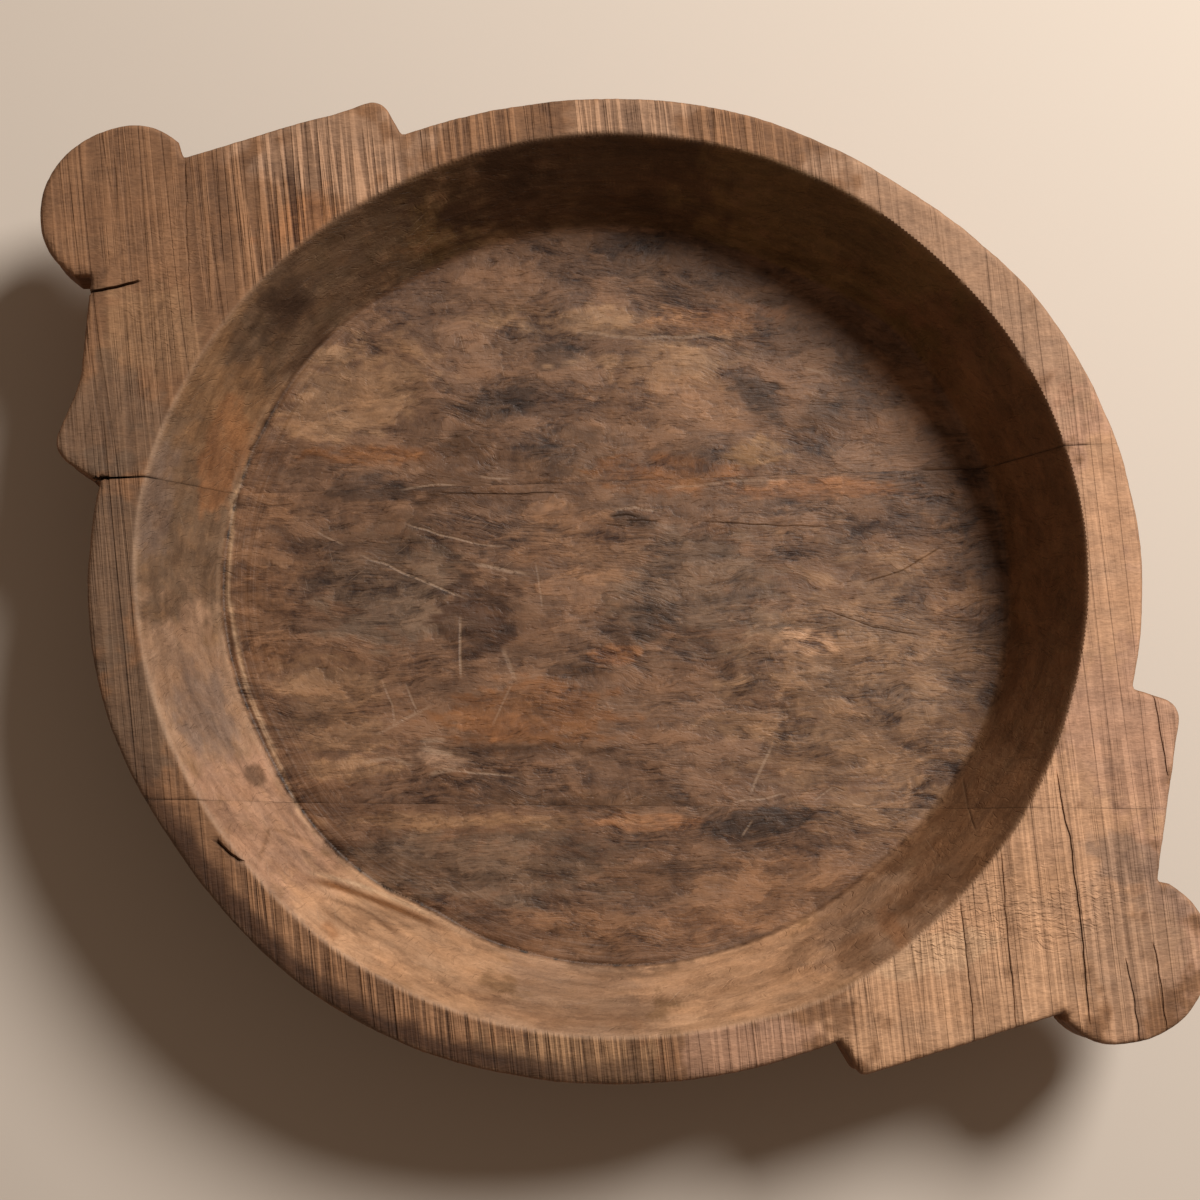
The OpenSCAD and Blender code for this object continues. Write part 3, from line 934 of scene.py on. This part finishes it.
def surfaceFinish(places, zones):
    top, edge = zones["top"], zones["edge"]
    outMouth, outFloor = outOf("mouth", places), outOf("floor", places)
    share = np.clip(outFloor / np.maximum(outFloor - outMouth, 1), -1, 2)
    turn = np.degrees(np.arctan2(places[:, 1], places[:, 0])) % 360
    # edges of the stains run out along the grain
    ragged = 0.55 * uneven(places, (30, 10, 10), 41, 3) + 0.45 * uneven(places, (9, 4.5, 4.5), 42, 2)
    blotch = 0.5 * uneven(places, (22, 22, 22), 43, 3) + 0.3 * uneven(places, (6, 6, 6), 45, 2)
    thin = np.clip(1.02 + 0.6 * uneven(places, (12, 5, 5), 46, 3), 0.4, 1.0)
    floorTone = groundTone("floor", len(places))
    for u, v, halfAlong, halfAcross, degrees, colour, strength in floorStains:
        weight = stainWeight(places[:, 0] - u, places[:, 1] - v, halfAlong, halfAcross, degrees, ragged)
        floorTone = laidOver(floorTone, weight * strength * thin, colour)
    wallTone = groundTone("wall", len(places))
    for degrees, height, halfAlong, halfShare, colour, strength in wallStains:
        apart = np.radians((turn - degrees + 180) % 360 - 180) * 215
        weight = stainWeight(apart, (share - height) / halfShare, halfAlong, 1, 0, blotch * 0.8)
        wallTone = laidOver(wallTone, weight * strength * thin, colour)
    sawnTone = groundTone("sawn", len(places))
    for u, v, halfAlong, halfAcross, degrees, colour, strength in sawnStains:
        weight = stainWeight(places[:, 0] - u, places[:, 1] - v, halfAlong, halfAcross, degrees, blotch)
        sawnTone = laidOver(sawnTone, weight * strength, colour)
    outerTone = groundTone("outer", len(places))
    for u, v, halfAlong, halfAcross, degrees, colour, strength in outerStains:
        weight = stainWeight(places[:, 0] - u, places[:, 1] - v, halfAlong, halfAcross, degrees, blotch)
        outerTone = laidOver(outerTone, weight * strength, colour)
    onWall, onRim = smoothStep(-0.6, 1.0, outFloor), smoothStep(-0.9, 0.5, outMouth)
    tone = floorTone + (wallTone - floorTone) * onWall[:, None]
    tone = tone + (sawnTone - tone) * onRim[:, None]
    for corners, halfWidth, colour, strength in wallMarks:
        path = spaced(np.array(corners, float), 3.0)
        near = nearBox(path, places[:, :2], 3 * halfWidth)
        apart, along = beside(path, places[near, :2])
        taper = smoothStep(0, 0.25, along) * smoothStep(0, 0.25, 1 - along) if halfWidth < 4 else 1.0
        weight = (1 - smoothStep(0.3, 1.5,
            np.abs(apart) / halfWidth + (0.8 if halfWidth > 2 else 0.3) * blotch[near])) * taper * strength
        weight = weight * top[near] * (1 - onRim[near])
        tone[near] = laidOver(tone[near], weight, colour)
    # a dark band along the outer edge on the lower left, the side turned from the lamp: partly handling dirt, partly
    # painted shade on the rounded edge
    handledAndShaded = smoothStep(190, 212, turn) * (1 - smoothStep(256, 288, turn)) * (1 - smoothStep(6, 14,
        edge + 6 * blotch)) * top
    tone = laidOver(tone, 0.9 * handledAndShaded, "char")
    under = np.where(top, 1 - smoothStep(0, 1.6, edge), 1.0)
    tone = tone + (outerTone - tone) * under[:, None]
    lowerLeft = smoothStep(140, 165, turn) * (1 - smoothStep(290, 330, turn))
    left = smoothStep(120, 150, turn) * (1 - smoothStep(262, 300, turn))
    # pale lines that are partly rubbed wear and partly painted highlight: along the mouth edge, strongest on the lower
    # left where it faces the lamp, at the foot of the left wall, and round the outer edge
    worn = (0.35 + 0.65 * lowerLeft) * np.exp(-(((outMouth + 0.2) / 1.0) ** 2)) * top
    worn += 0.5 * left * np.exp(-(((outFloor - 1.6) / 1.1) ** 2)) * top
    worn += 0.4 * np.exp(-(((edge - 0.9) / 0.9) ** 2)) * top
    grimeAndShade = zones["ink"].copy()
    for name in seams:
        grimeAndShade = np.maximum(grimeAndShade, seamLine(name, places, 0.4) * top)
    # painted shade in the crease at the foot of the wall: faint all round, stronger and broken into dashes on the left;
    # seams and splits add their own dark lines
    pitted = smoothStep(0.12, 0.4, uneven(places, (5, 5, 5), 44, 2))
    foot = np.exp(-(((outFloor + 0.9) / 0.9) ** 2)) * (0.08 + 0.15 * left + 0.8 * left * pitted) * top
    grimeAndShade = np.maximum(grimeAndShade, foot)
    scratchSide, scratchShow = scratchLines(places[:, :2])
    coarse = np.full(len(places), 0.38)
    coarse = coarse - 0.2 * smoothStep(8, 30,
        turn) * (1 - smoothStep(56, 76, turn)) - 0.28 * (places[:, 0] > 150) * (np.abs(places[:, 1]) < 74)
    coarse = np.maximum(coarse, 1 - smoothStep(0.6, 1.3,
        np.hypot((places[:, 0] + 150) / 62, (places[:, 1] - 180) / 46)))
    coarse = np.maximum(coarse, smoothStep(205, 222, turn) * (1 - smoothStep(268, 292, turn)))
    coarse = np.maximum(coarse, 0.75 * smoothStep(62, 78, turn) * (1 - smoothStep(112, 124, turn)))
    coarse = coarse * (1 - 0.65 * handledAndShaded)
    crackle = 1 - smoothStep(0.5, 1.2, np.hypot((places[:, 0] - 172) / 66,
        (places[:, 1] + 156 - 0.1 * (places[:, 0] - 172)) / 24) + blotch)
    crackle = np.maximum(crackle, 0.5 * (1 - smoothStep(0.4, 1.2,
        np.hypot((places[:, 0] + 214) / 30, (places[:, 1] - 150) / 44) + blotch)))
    return {
        "tone": tone,
        "sawn": onRim * top,
        "scraped": (1 - onRim) * top,
        "hewn": np.where(top, 0.0, 1.0),
        "worn": np.clip(worn, 0, 1),
        "grimeAndShade": np.clip(grimeAndShade, 0, 1),
        "fromWall": np.clip(-outFloor / 100, -1, 1),
        "leftSide": np.maximum(left, 0.6) * top,
        "scratchSide": scratchSide,
        "scratchShow": scratchShow * top,
        "coarse": coarse,
        "crackle": crackle * top,
    }


shellFinish = surfaceFinish(shellPlaces, shellZones)
print("stains, wear and grime laid on")


def storeFinish(piece, used, count):
    # points made for the dowel holes and joints are bare, fresh wood
    fromShell = used < len(shellPlaces)
    for name, values in shellFinish.items():
        if name == "tone":
            store = np.ones((count, 4))
            store[:, :3] = linearColour("#b08a62")
            store[fromShell, :3] = values[used[fromShell]]
            piece.data.attributes.new(name, "FLOAT_COLOR", "POINT").data.foreach_set("color", store.ravel())
        else:
            store = np.zeros(count)
            store[fromShell] = values[used[fromShell]]
            piece.data.attributes.new(name, "FLOAT", "POINT").data.foreach_set("value", store)


# What the saw and the adze left: spacing and depth in mm, length of a mark in mm, slant in degrees.
toolMarks = {
    "Groove Spacing": 5.2, "Groove Depth": 0.5, "Mark Length": 240.0, "Wave Spacing": 13.0,
        "Wave Depth": 0.5,
    "Slant": mesh["sawSlant"], "Gouge Size": 15.0, "Gouge Depth": 0.55, "Seed": 7,
}


def toolMarkTree():
    tree = bpy.data.node_groups.new("toolMarks", "GeometryNodeTree")
    tree.interface.new_socket("Geometry", in_out="OUTPUT", socket_type="NodeSocketGeometry")
    tree.interface.new_socket("Geometry", in_out="INPUT", socket_type="NodeSocketGeometry")
    for name, value in toolMarks.items():
        kind = "NodeSocketInt" if name == "Seed" else "NodeSocketFloat"
        tree.interface.new_socket(name, in_out="INPUT", socket_type=kind).default_value = value
    tree.interface.new_socket("Finish", in_out="INPUT", socket_type="NodeSocketMaterial")
    given = addNode(tree, "NodeGroupInput").outputs

    def sums(operation, *values):
        return addNode(tree, "ShaderNodeMath", dict(enumerate(values)), operation=operation).outputs[0]

    def mask(name):
        return addNode(tree, "GeometryNodeInputNamedAttribute", {"Name": name},
            data_type="FLOAT").outputs["Attribute"]

    place = addNode(tree, "GeometryNodeInputPosition").outputs[0]
    inMillimetres = addNode(tree, "ShaderNodeVectorMath", {0: place, "Scale": 1000.0},
        operation="SCALE").outputs[0]
    turn = sums("SUBTRACT", -grainTurn, sums("RADIANS", given["Slant"]))
    alongSaw = addNode(tree, "ShaderNodeVectorRotate", {"Vector": inMillimetres, "Angle": turn},
        rotation_type="Z_AXIS")
    parts = addNode(tree, "ShaderNodeSeparateXYZ", {0: alongSaw.outputs[0]}).outputs

    def marks(spacing, length):
        spot = addNode(tree, "ShaderNodeCombineXYZ", {
            "X": sums("DIVIDE", parts["X"], spacing), "Y": sums("DIVIDE", parts["Y"], length),
                "Z": given["Seed"],
        })
        return addNode(tree, "ShaderNodeTexNoise",
            {"Vector": spot.outputs[0], "Scale": 1.0, "Detail": 0.5}).outputs[0]

    # a groove runs wherever the noise passes its middle value
    offMiddle = sums("ABSOLUTE", sums("SUBTRACT", marks(given["Groove Spacing"], given["Mark Length"]),
        0.5))
    crest = addNode(tree, "ShaderNodeMapRange", {0: offMiddle, 1: 0.0, 2: 0.09},
        interpolation_type="SMOOTHSTEP").outputs[0]
    waves = marks(given["Wave Spacing"], sums("MULTIPLY", given["Mark Length"], 1.6))
    grooveDrop = sums("MULTIPLY", sums("MULTIPLY", sums("SUBTRACT", crest, 1.0), given["Groove Depth"]),
        mask("coarse"))
    waveDrop = sums("MULTIPLY", sums("SUBTRACT", waves, 0.8), given["Wave Depth"])
    drop = sums("MINIMUM", sums("ADD", grooveDrop, waveDrop), 0.0)
    sawDrop = sums("MULTIPLY", sums("MULTIPLY", drop, mask("sawn")), millimetre)
    gougeScale = sums("DIVIDE", 1.0, given["Gouge Size"])
    gouge = addNode(tree, "ShaderNodeTexVoronoi", {"Vector": inMillimetres, "Scale": gougeScale},
        feature="SMOOTH_F1")
    hollowed = sums("MULTIPLY", sums("SUBTRACT", gouge.outputs["Distance"], 0.9), given["Gouge Depth"])
    gougeDrop = sums("MINIMUM", sums("MULTIPLY", hollowed, sums("MULTIPLY", mask("hewn"), millimetre)), 0.0)
    normal = addNode(tree, "GeometryNodeInputNormal").outputs[0]
    inward = addNode(tree, "ShaderNodeVectorMath", {0: normal, "Scale": gougeDrop},
        operation="SCALE").outputs[0]
    down = addNode(tree, "ShaderNodeCombineXYZ", {"Z": sawDrop}).outputs[0]
    shift = addNode(tree, "ShaderNodeVectorMath", {0: inward, 1: down}, operation="ADD").outputs[0]
    carved = addNode(tree, "GeometryNodeSetPosition", {"Geometry": given["Geometry"], "Offset": shift})
    real = addNode(tree, "GeometryNodeRealizeInstances", {0: carved.outputs[0]})
    dressed = addNode(tree, "GeometryNodeSetMaterial",
        {"Geometry": real.outputs[0], "Material": given["Finish"]})
    addNode(tree, "NodeGroupOutput", {0: dressed.outputs[0]})
    return tree


def carveMarks(piece, tree, finish):
    modifier = piece.modifiers.new("toolMarks", "NODES")
    modifier.node_group = tree
    for item in tree.interface.items_tree:
        if item.in_out == "INPUT" and item.name == "Finish":
            modifier[item.identifier] = finish
        elif item.in_out == "INPUT" and item.name in toolMarks:
            modifier[item.identifier] = toolMarks[item.name]
    bpy.context.view_layer.update()
    graph = bpy.context.evaluated_depsgraph_get()
    plain = bpy.data.meshes.new_from_object(piece.evaluated_get(graph), preserve_all_data_layers=True,
        depsgraph=graph)
    piece.modifiers.clear()
    piece.data = plain


# What differs from board to board: where the heart of its tree lay, and how strong its figure is.
timber = {
    "rear": {"heart": (0.0, 120.0, -250.0), "figure": 1.0, "shift": 0.0},
    "middle": {"heart": (0.0, -10.0, -190.0), "figure": 1.1, "shift": 37.0},
    "front": {"heart": (0.0, -230.0, -160.0), "figure": 1.0, "shift": 81.0},
}


def agedHardwood(name, boardTimber):
    # Bare aged hardwood, such as teak or mango. The rim is as the saw left it, dry and streaked light and dark across
    # the grain. The hollow is scraped and handled smooth, so its figure and stains show and it has a low sheen.
    finish = bpy.data.materials.new(name)
    finish.use_nodes = True
    tree = finish.node_tree
    tree.nodes.clear()

    def sums(operation, *values, clamp=False):
        made = addNode(tree, "ShaderNodeMath", dict(enumerate(values)), operation=operation)
        made.use_clamp = clamp
        return made.outputs[0]

    def vectors(operation, *values):
        made = addNode(tree, "ShaderNodeVectorMath", dict(enumerate(values)), operation=operation)
        return made.outputs["Value" if operation in ("LENGTH", "DOT_PRODUCT") else "Vector"]

    def mask(name):
        return addNode(tree, "ShaderNodeAttribute", attribute_name=name).outputs["Fac"]

    def grain(vector, detail, rough=0.55):
        # centred on nothing and about one wide
        seen = addNode(tree, "ShaderNodeTexNoise",
            {"Vector": vector, "Scale": 1.0, "Detail": detail, "Roughness": rough})
        return sums("MULTIPLY", sums("SUBTRACT", seen.outputs[0], 0.5), 2.4)

    def mixed(factor, a, b, blend="MIX"):
        made = addNode(tree, "ShaderNodeMix", {0: factor, 6: a, 7: b}, data_type="RGBA", blend_type=blend,
            clamp_factor=True)
        return made.outputs[2]

    def band(value, low, high):
        return addNode(tree, "ShaderNodeMapRange", {0: value, 1: low, 2: high},
            interpolation_type="SMOOTHSTEP").outputs[0]

    place = addNode(tree, "ShaderNodeTexCoord").outputs["Object"]
    along = addNode(tree, "ShaderNodeMapping",
        {"Vector": place, "Rotation": (0, 0, -grainTurn), "Scale": (1000.0,) * 3}).outputs[0]
    offset = vectors("ADD", along, (boardTimber["shift"] * 3, 0.0, boardTimber["shift"]))
    split = addNode(tree, "ShaderNodeSeparateXYZ", {0: along}).outputs
    # growth rings lie round the heart, which runs along the grain
    fromHeart = vectors("LENGTH", vectors("MULTIPLY", vectors("SUBTRACT", along, boardTimber["heart"]),
        (0.0, 1.0, 1.0)))
    wander = grain(vectors("MULTIPLY", offset, (1 / 130, 1 / 34, 1 / 34)), 3.0)
    ring = sums("ADD", fromHeart, sums("MULTIPLY", wander, 17.0))

    drift = addNode(tree, "ShaderNodeTexNoise",
        {"Vector": vectors("MULTIPLY", offset, (1 / 60, 1 / 34, 1 / 34)), "Scale": 1.0})
    bentGrain = vectors("ADD", offset, vectors("MULTIPLY", drift.outputs["Color"], (16.0, 26.0, 0.0)))
    # fibres and pores also close up straight across the grain, where the rings lie flat
    cross = sums("MULTIPLY_ADD", ring, 0.35,
        addNode(tree, "ShaderNodeSeparateXYZ", {0: bentGrain}).outputs["Y"])

    def inRings(length, spacing, depth, detail, rough=0.6, across=ring):
        spot = addNode(tree, "ShaderNodeCombineXYZ", {
            "X": sums("DIVIDE", split["X"], length), "Y": sums("DIVIDE", across, spacing),
                "Z": sums("DIVIDE", split["Y"], depth),
        })
        return grain(vectors("ADD", spot.outputs[0], (boardTimber["shift"], 0.0, 0.0)), detail, rough)

    figure = inRings(110.0, 5.5, 90.0, 4.0)
    fibre = inRings(15.0, 1.4, 14.0, 3.0, across=cross)
    pore = band(inRings(6.5, 0.9, 5.0, 1.0, across=cross), 0.3, 0.62)
    speckle = grain(vectors("MULTIPLY", bentGrain, (1 / 6.5, 1 / 3.6, 1 / 3.6)), 4.0, 0.66)
    mottle = grain(vectors("MULTIPLY", bentGrain, (1 / 18, 1 / 11, 1 / 11)), 5.0, 0.62)
    cloud = grain(vectors("MULTIPLY", offset, (1 / 42, 1 / 24, 1 / 24)), 3.0)
    rugged = band(grain(vectors("MULTIPLY", bentGrain, (1 / 38, 1 / 19, 1 / 19)), 3.0), -0.4, 0.4)
    ripple = grain(vectors("MULTIPLY", bentGrain, (1 / 44, 1 / 3.4, 1 / 8)), 2.0)
    ripple = sums("MULTIPLY", sums("SUBTRACT", 1.0, band(sums("ABSOLUTE", ripple), 0.01, 0.13)),
        sums("MULTIPLY", rugged, rugged))
    layer = band(grain(vectors("MULTIPLY", vectors("ADD", bentGrain, (90.0, 70.0, 0.0)),
        (1 / 30, 1 / 16, 1 / 16)), 6.0, 0.6), 0.02, 0.14)
    hue = grain(vectors("MULTIPLY", vectors("ADD", offset, (0.0, 50.0, 0.0)), (1 / 34, 1 / 13, 1 / 13)),
        4.0)
    grit = grain(vectors("MULTIPLY", offset, (1 / 1.7, 1 / 1.1, 1 / 1.1)), 2.0)
    smudge = band(sums("MULTIPLY_ADD", mottle, 0.7, sums("MULTIPLY", speckle, 0.45)), 0.16, 0.42)
    fleck = band(sums("MULTIPLY_ADD", speckle, 0.8, sums("MULTIPLY", grit, 0.35)), 0.36, 0.52)
    # the saw ran nearly square across the grain and left thin grooves that come and go
    sawTurn = math.radians(mesh["sawSlant"])
    alongSaw = addNode(tree, "ShaderNodeMapping",
        {"Vector": along, "Rotation": (0, 0, -sawTurn)}).outputs[0]

    def groove(across, length, seed, wide):
        seen = grain(vectors("MULTIPLY", vectors("ADD", alongSaw, (seed, 0.0, 0.0)),
            (1 / across, 1 / length, 1 / length)), 1.0)
        return sums("SUBTRACT", 1.0, band(sums("ABSOLUTE", seen), 0.02, wide))

    # the widest grooves are cut in the mesh by the same noise; each has a raised shoulder, painted pale as a highlight
    cutPlace = vectors("MULTIPLY_ADD", alongSaw,
        (1 / toolMarks["Groove Spacing"], 1 / toolMarks["Mark Length"], 0.0),
                       (0.0, 0.0, float(toolMarks["Seed"])))
    offCut = sums("ABSOLUTE", grain(cutPlace, 0.5, 0.5))
    cut = sums("SUBTRACT", 1.0, band(offCut, 0.04, 0.2))
    shoulderAndHighlight = sums("MULTIPLY", band(offCut, 0.14, 0.22), sums("SUBTRACT", 1.0, band(offCut, 0.28, 0.44)))
    shows = band(grain(vectors("MULTIPLY", alongSaw, (1 / 16, 1 / 26, 1 / 26)), 2.0), -0.32, 0.2)
    fine = sums("MULTIPLY", groove(3.0, 210.0, 0.0, 0.15), shows)
    deep = groove(11.0, 420.0, 300.0, 0.05)
    stripe = grain(vectors("MULTIPLY", alongSaw, (1 / 6.0, 1 / 130, 1 / 130)), 2.0)
    tick = grain(vectors("MULTIPLY", alongSaw, (1 / 3.8, 1 / 1.0, 1 / 1.0)), 2.0)
    bent = vectors("ADD", alongSaw, vectors("MULTIPLY", addNode(tree, "ShaderNodeTexNoise", {
        "Vector": vectors("MULTIPLY", alongSaw, (1 / 9, 1 / 9, 1 / 9)), "Scale": 1.0,
    }).outputs["Color"], (9.0, 9.0, 0.0)))
    crease = grain(vectors("MULTIPLY", bent, (1 / 8, 1 / 2.8, 1 / 2.8)), 2.0)
    crease = sums("MULTIPLY", sums("SUBTRACT", 1.0, band(sums("ABSOLUTE", crease), 0.0, 0.34)),
        mask("crackle"))
    coarse = mask("coarse")
    sawn, hewn = mask("sawn"), mask("hewn")
    onWall = sums("SUBTRACT", 1.0, band(mask("fromWall"), -0.02, 0.004))
    onFloor = sums("SUBTRACT", 1.0, onWall)
    calm = sums("MULTIPLY_ADD", onWall, -0.62, 1.0)
    ripple = sums("MULTIPLY", ripple, onFloor)
    # light and dark inside the hollow, then on the sawn rim, then on the hewn outside
    inside = sums("MULTIPLY_ADD", figure, 0.42 * boardTimber["figure"],
        sums("MULTIPLY", sums("MULTIPLY_ADD", rugged, 0.2, 0.1), fibre))
    inside = sums("MULTIPLY_ADD", mottle, 0.54, sums("MULTIPLY_ADD", ripple, -0.13, inside))
    inside = sums("MULTIPLY_ADD", sums("MULTIPLY_ADD", rugged, 0.34, 0.22), speckle,
        sums("MULTIPLY_ADD", smudge, -0.24, inside))
    inside = sums("MULTIPLY_ADD", fleck, 0.2, sums("MULTIPLY_ADD", pore, -0.13, inside))
    inside = sums("MULTIPLY_ADD", layer, 0.26, inside)
    inside = sums("MULTIPLY_ADD", inside, calm,
        sums("MULTIPLY_ADD", cloud, 0.3, sums("MULTIPLY_ADD", grit, 0.13, 0.46)))
    rim = sums("MULTIPLY_ADD", stripe, sums("MULTIPLY_ADD", coarse, 0.24, 0.06), 0.56)
    rim = sums("SUBTRACT", rim, sums("MULTIPLY", sums("MULTIPLY", cut, 0.16), coarse))
    fineness = sums("MULTIPLY", fine, sums("MULTIPLY_ADD", coarse, 0.75, 0.3))
    rim = sums("SUBTRACT", rim, sums("MULTIPLY_ADD", fineness, 0.11, sums("MULTIPLY", deep, 0.12)))
    # painted highlight along the groove shoulders
    rim = sums("MULTIPLY_ADD", sums("MULTIPLY", shoulderAndHighlight, coarse), 0.4, rim)
    rim = sums("MULTIPLY_ADD", mottle, 0.22, sums("MULTIPLY_ADD", tick, 0.16, rim))
    rim = sums("MULTIPLY_ADD", speckle, 0.16, sums("MULTIPLY_ADD", grit, 0.1, rim))
    rim = sums("SUBTRACT", rim, sums("MULTIPLY", crease, 0.04))
    outside = sums("MULTIPLY_ADD", figure, 0.3, sums("MULTIPLY_ADD", fibre, 0.24, 0.48))
    outside = sums("MULTIPLY_ADD", mottle, 0.3, sums("MULTIPLY_ADD", speckle, 0.2, outside))
    light = sums("ADD", sums("MULTIPLY", rim, sawn), sums("MULTIPLY", inside, mask("scraped")))
    bare = sums("SUBTRACT", sums("SUBTRACT", 1.0, sawn), mask("scraped"), clamp=True)
    light = sums("ADD", light, sums("MULTIPLY", outside, bare), clamp=True)
    tone = addNode(tree, "ShaderNodeAttribute", attribute_name="tone").outputs["Color"]
    dark = mixed(1.0, tone, (0.25, 0.2, 0.18, 1), "MULTIPLY")
    pale = mixed(1.0, tone, (1.84, 1.84, 1.82, 1), "MULTIPLY")
    colour = mixed(light, dark, pale)
    # golden in some places, purple-grey in others
    warmth = mixed(sums("MULTIPLY_ADD", hue, 0.8, 0.5, clamp=True), (0.95, 0.99, 1.03, 1),
        (1.06, 1.0, 0.92, 1))
    colour = mixed(sums("SUBTRACT", 1.0, sums("MULTIPLY", sawn, 0.5)), colour,
        mixed(1.0, colour, warmth, "MULTIPLY"))
    # fine pale scratches: the ones that show in the hollow, and small ones that run three ways
    line = sums("SUBTRACT", 1.0, band(sums("ABSOLUTE", mask("scratchSide")), 0.3, 1.8))
    scratch = sums("MULTIPLY", line, sums("MULTIPLY", mask("scratchShow"),
        band(sums("ADD", grit, speckle), -0.8, 0.0)))
    few = band(grain(vectors("MULTIPLY", along, (1 / 60, 1 / 50, 0.0)), 1.0), 0.05, 0.5)
    for degrees, shift in ((24, 0.0), (-38, 41.0), (76, 93.0)):
        way = addNode(tree, "ShaderNodeMapping", {
            "Vector": along, "Rotation": (0, 0, math.radians(degrees)), "Location": (shift, shift, 0),
        }).outputs[0]
        small = band(grain(vectors("MULTIPLY", way, (1 / 22, 1 / 0.9, 0.0)), 0.0), 0.62, 0.8)
        scratch = sums("MAXIMUM", scratch, sums("MULTIPLY", small, sums("MULTIPLY", few, 0.45)))
    scratch = sums("MULTIPLY", scratch, mask("scraped"))
    colour = mixed(sums("MULTIPLY", scratch, 0.66), colour, (*linearColour("#b0937a"), 1))
    # rings that the scraper left near the foot of the wall
    ringPlace = addNode(tree, "ShaderNodeCombineXYZ", {
        "X": sums("MULTIPLY", mask("fromWall"), 36.0), "Y": sums("DIVIDE", split["X"], 70.0),
            "Z": sums("DIVIDE", split["Y"], 70.0),
    }).outputs[0]
    ringMark = grain(ringPlace, 2.0)
    nearWall = sums("SUBTRACT", 1.0, band(mask("fromWall"), 0.06, 0.34))
    ringMark = sums("MULTIPLY", sums("MULTIPLY", ringMark, nearWall), mask("leftSide"))
    colour = mixed(sums("MULTIPLY", ringMark, 0.7, clamp=True), colour,
        mixed(1.0, colour, (0.5, 0.48, 0.46, 1), "MULTIPLY"))
    # pale wear lines, partly painted highlight where edges face the lamp
    wearAndHighlight = sums("MULTIPLY", mask("worn"), sums("MULTIPLY_ADD", mottle, 0.7, 0.6), clamp=True)
    colour = mixed(sums("MULTIPLY", wearAndHighlight, 0.62), colour, (*linearColour("#b9977a"), 1))
    # darkens the seams and splits, and paints shade into the crease at the foot of the wall
    dirtAndShade = sums("MULTIPLY", mask("grimeAndShade"), sums("MULTIPLY_ADD", mottle, 0.35, 0.95), clamp=True)
    colour = mixed(dirtAndShade, colour, (*linearColour("#22160e"), 1))
    # height of the finest marks in mm, for the bump
    smoothHeight = sums("MULTIPLY_ADD", sums("MULTIPLY", fibre, onFloor), 0.08,
        sums("MULTIPLY_ADD", mottle, 0.28, sums("MULTIPLY", pore, -0.2)))
    smoothHeight = sums("MULTIPLY_ADD", speckle, 0.14, sums("MULTIPLY_ADD", scratch, -0.2, smoothHeight))
    smoothHeight = sums("MULTIPLY_ADD", ringMark, 0.25, sums("MULTIPLY_ADD", ripple, -0.1, smoothHeight))
    smoothHeight = sums("MULTIPLY_ADD", layer, 0.12, smoothHeight)
    sawHeight = sums("MULTIPLY_ADD", fineness, -0.3,
        sums("MULTIPLY_ADD", tick, 0.14, sums("MULTIPLY", mottle, 0.2)))
    sawHeight = sums("MULTIPLY_ADD", crease, -0.32,
        sums("MULTIPLY_ADD", deep, -0.22,
            sums("MULTIPLY_ADD", sums("MULTIPLY", shoulderAndHighlight, coarse), 0.2, sawHeight)))
    sawHeight = sums("MULTIPLY_ADD", speckle, 0.12, sawHeight)
    height = sums("ADD", sums("MULTIPLY", smoothHeight, sums("SUBTRACT", 1.0, sawn)),
        sums("MULTIPLY", sawHeight, sawn))
    bump = addNode(tree, "ShaderNodeBump", {"Height": height, "Distance": millimetre, "Strength": 1.0})
    sheen = sums("MULTIPLY_ADD", mottle, 0.06,
        sums("MULTIPLY_ADD", sums("MAXIMUM", sawn, hewn), 0.27, 0.52))
    shader = addNode(tree, "ShaderNodeBsdfPrincipled", {
        "Base Color": colour, "Roughness": sheen, "Normal": bump.outputs[0], "Specular IOR Level": 0.35,
    })
    addNode(tree, "ShaderNodeOutputMaterial", {"Surface": shader.outputs[0]})
    return finish


def turnedDowelWood():
    # Straight-grained beech or birch rod, turned and sanded: pale, even, with short fine flecks
    finish = bpy.data.materials.new("turnedBeech")
    finish.use_nodes = True
    tree = finish.node_tree
    tree.nodes.clear()
    place = addNode(tree, "ShaderNodeTexCoord").outputs["Object"]
    along = addNode(tree, "ShaderNodeMapping",
        {"Vector": place, "Rotation": (0, 0, -grainTurn), "Scale": (1400.0, 90.0, 1400.0)})
    fleck = addNode(tree, "ShaderNodeTexNoise", {"Vector": along.outputs[0], "Scale": 1.0, "Detail": 3.0})
    colour = addNode(tree, "ShaderNodeMix", {
        0: fleck.outputs[0], 6: (*linearColour("#a07a50"), 1), 7: (*linearColour("#d8b88c"), 1),
    }, data_type="RGBA")
    bump = addNode(tree, "ShaderNodeBump", {"Height": fleck.outputs[0], "Distance": 0.1 * millimetre})
    shader = addNode(tree, "ShaderNodeBsdfPrincipled", {
        "Base Color": colour.outputs[2], "Roughness": 0.6, "Normal": bump.outputs[0],
    })
    addNode(tree, "ShaderNodeOutputMaterial", {"Surface": shader.outputs[0]})
    return finish


markTree = toolMarkTree()
for board in ("rear", "middle", "front"):
    piece, places, used = buildBoard(board)
    storeFinish(piece, used, len(places))
    carveMarks(piece, markTree, agedHardwood(board + "BoardTimber", timber[board]))
    piece.data.set_sharp_from_angle(angle=math.radians(50))
    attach(piece, "root")
    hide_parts(board + "_board")
    print(board, "board carved:", len(piece.data.polygons), "faces")

dowelFinish = turnedDowelWood()
for name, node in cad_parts.items():
    if "dowel" in name:
        node.data.materials.clear()
        node.data.materials.append(dowelFinish)
print("dowels finished")
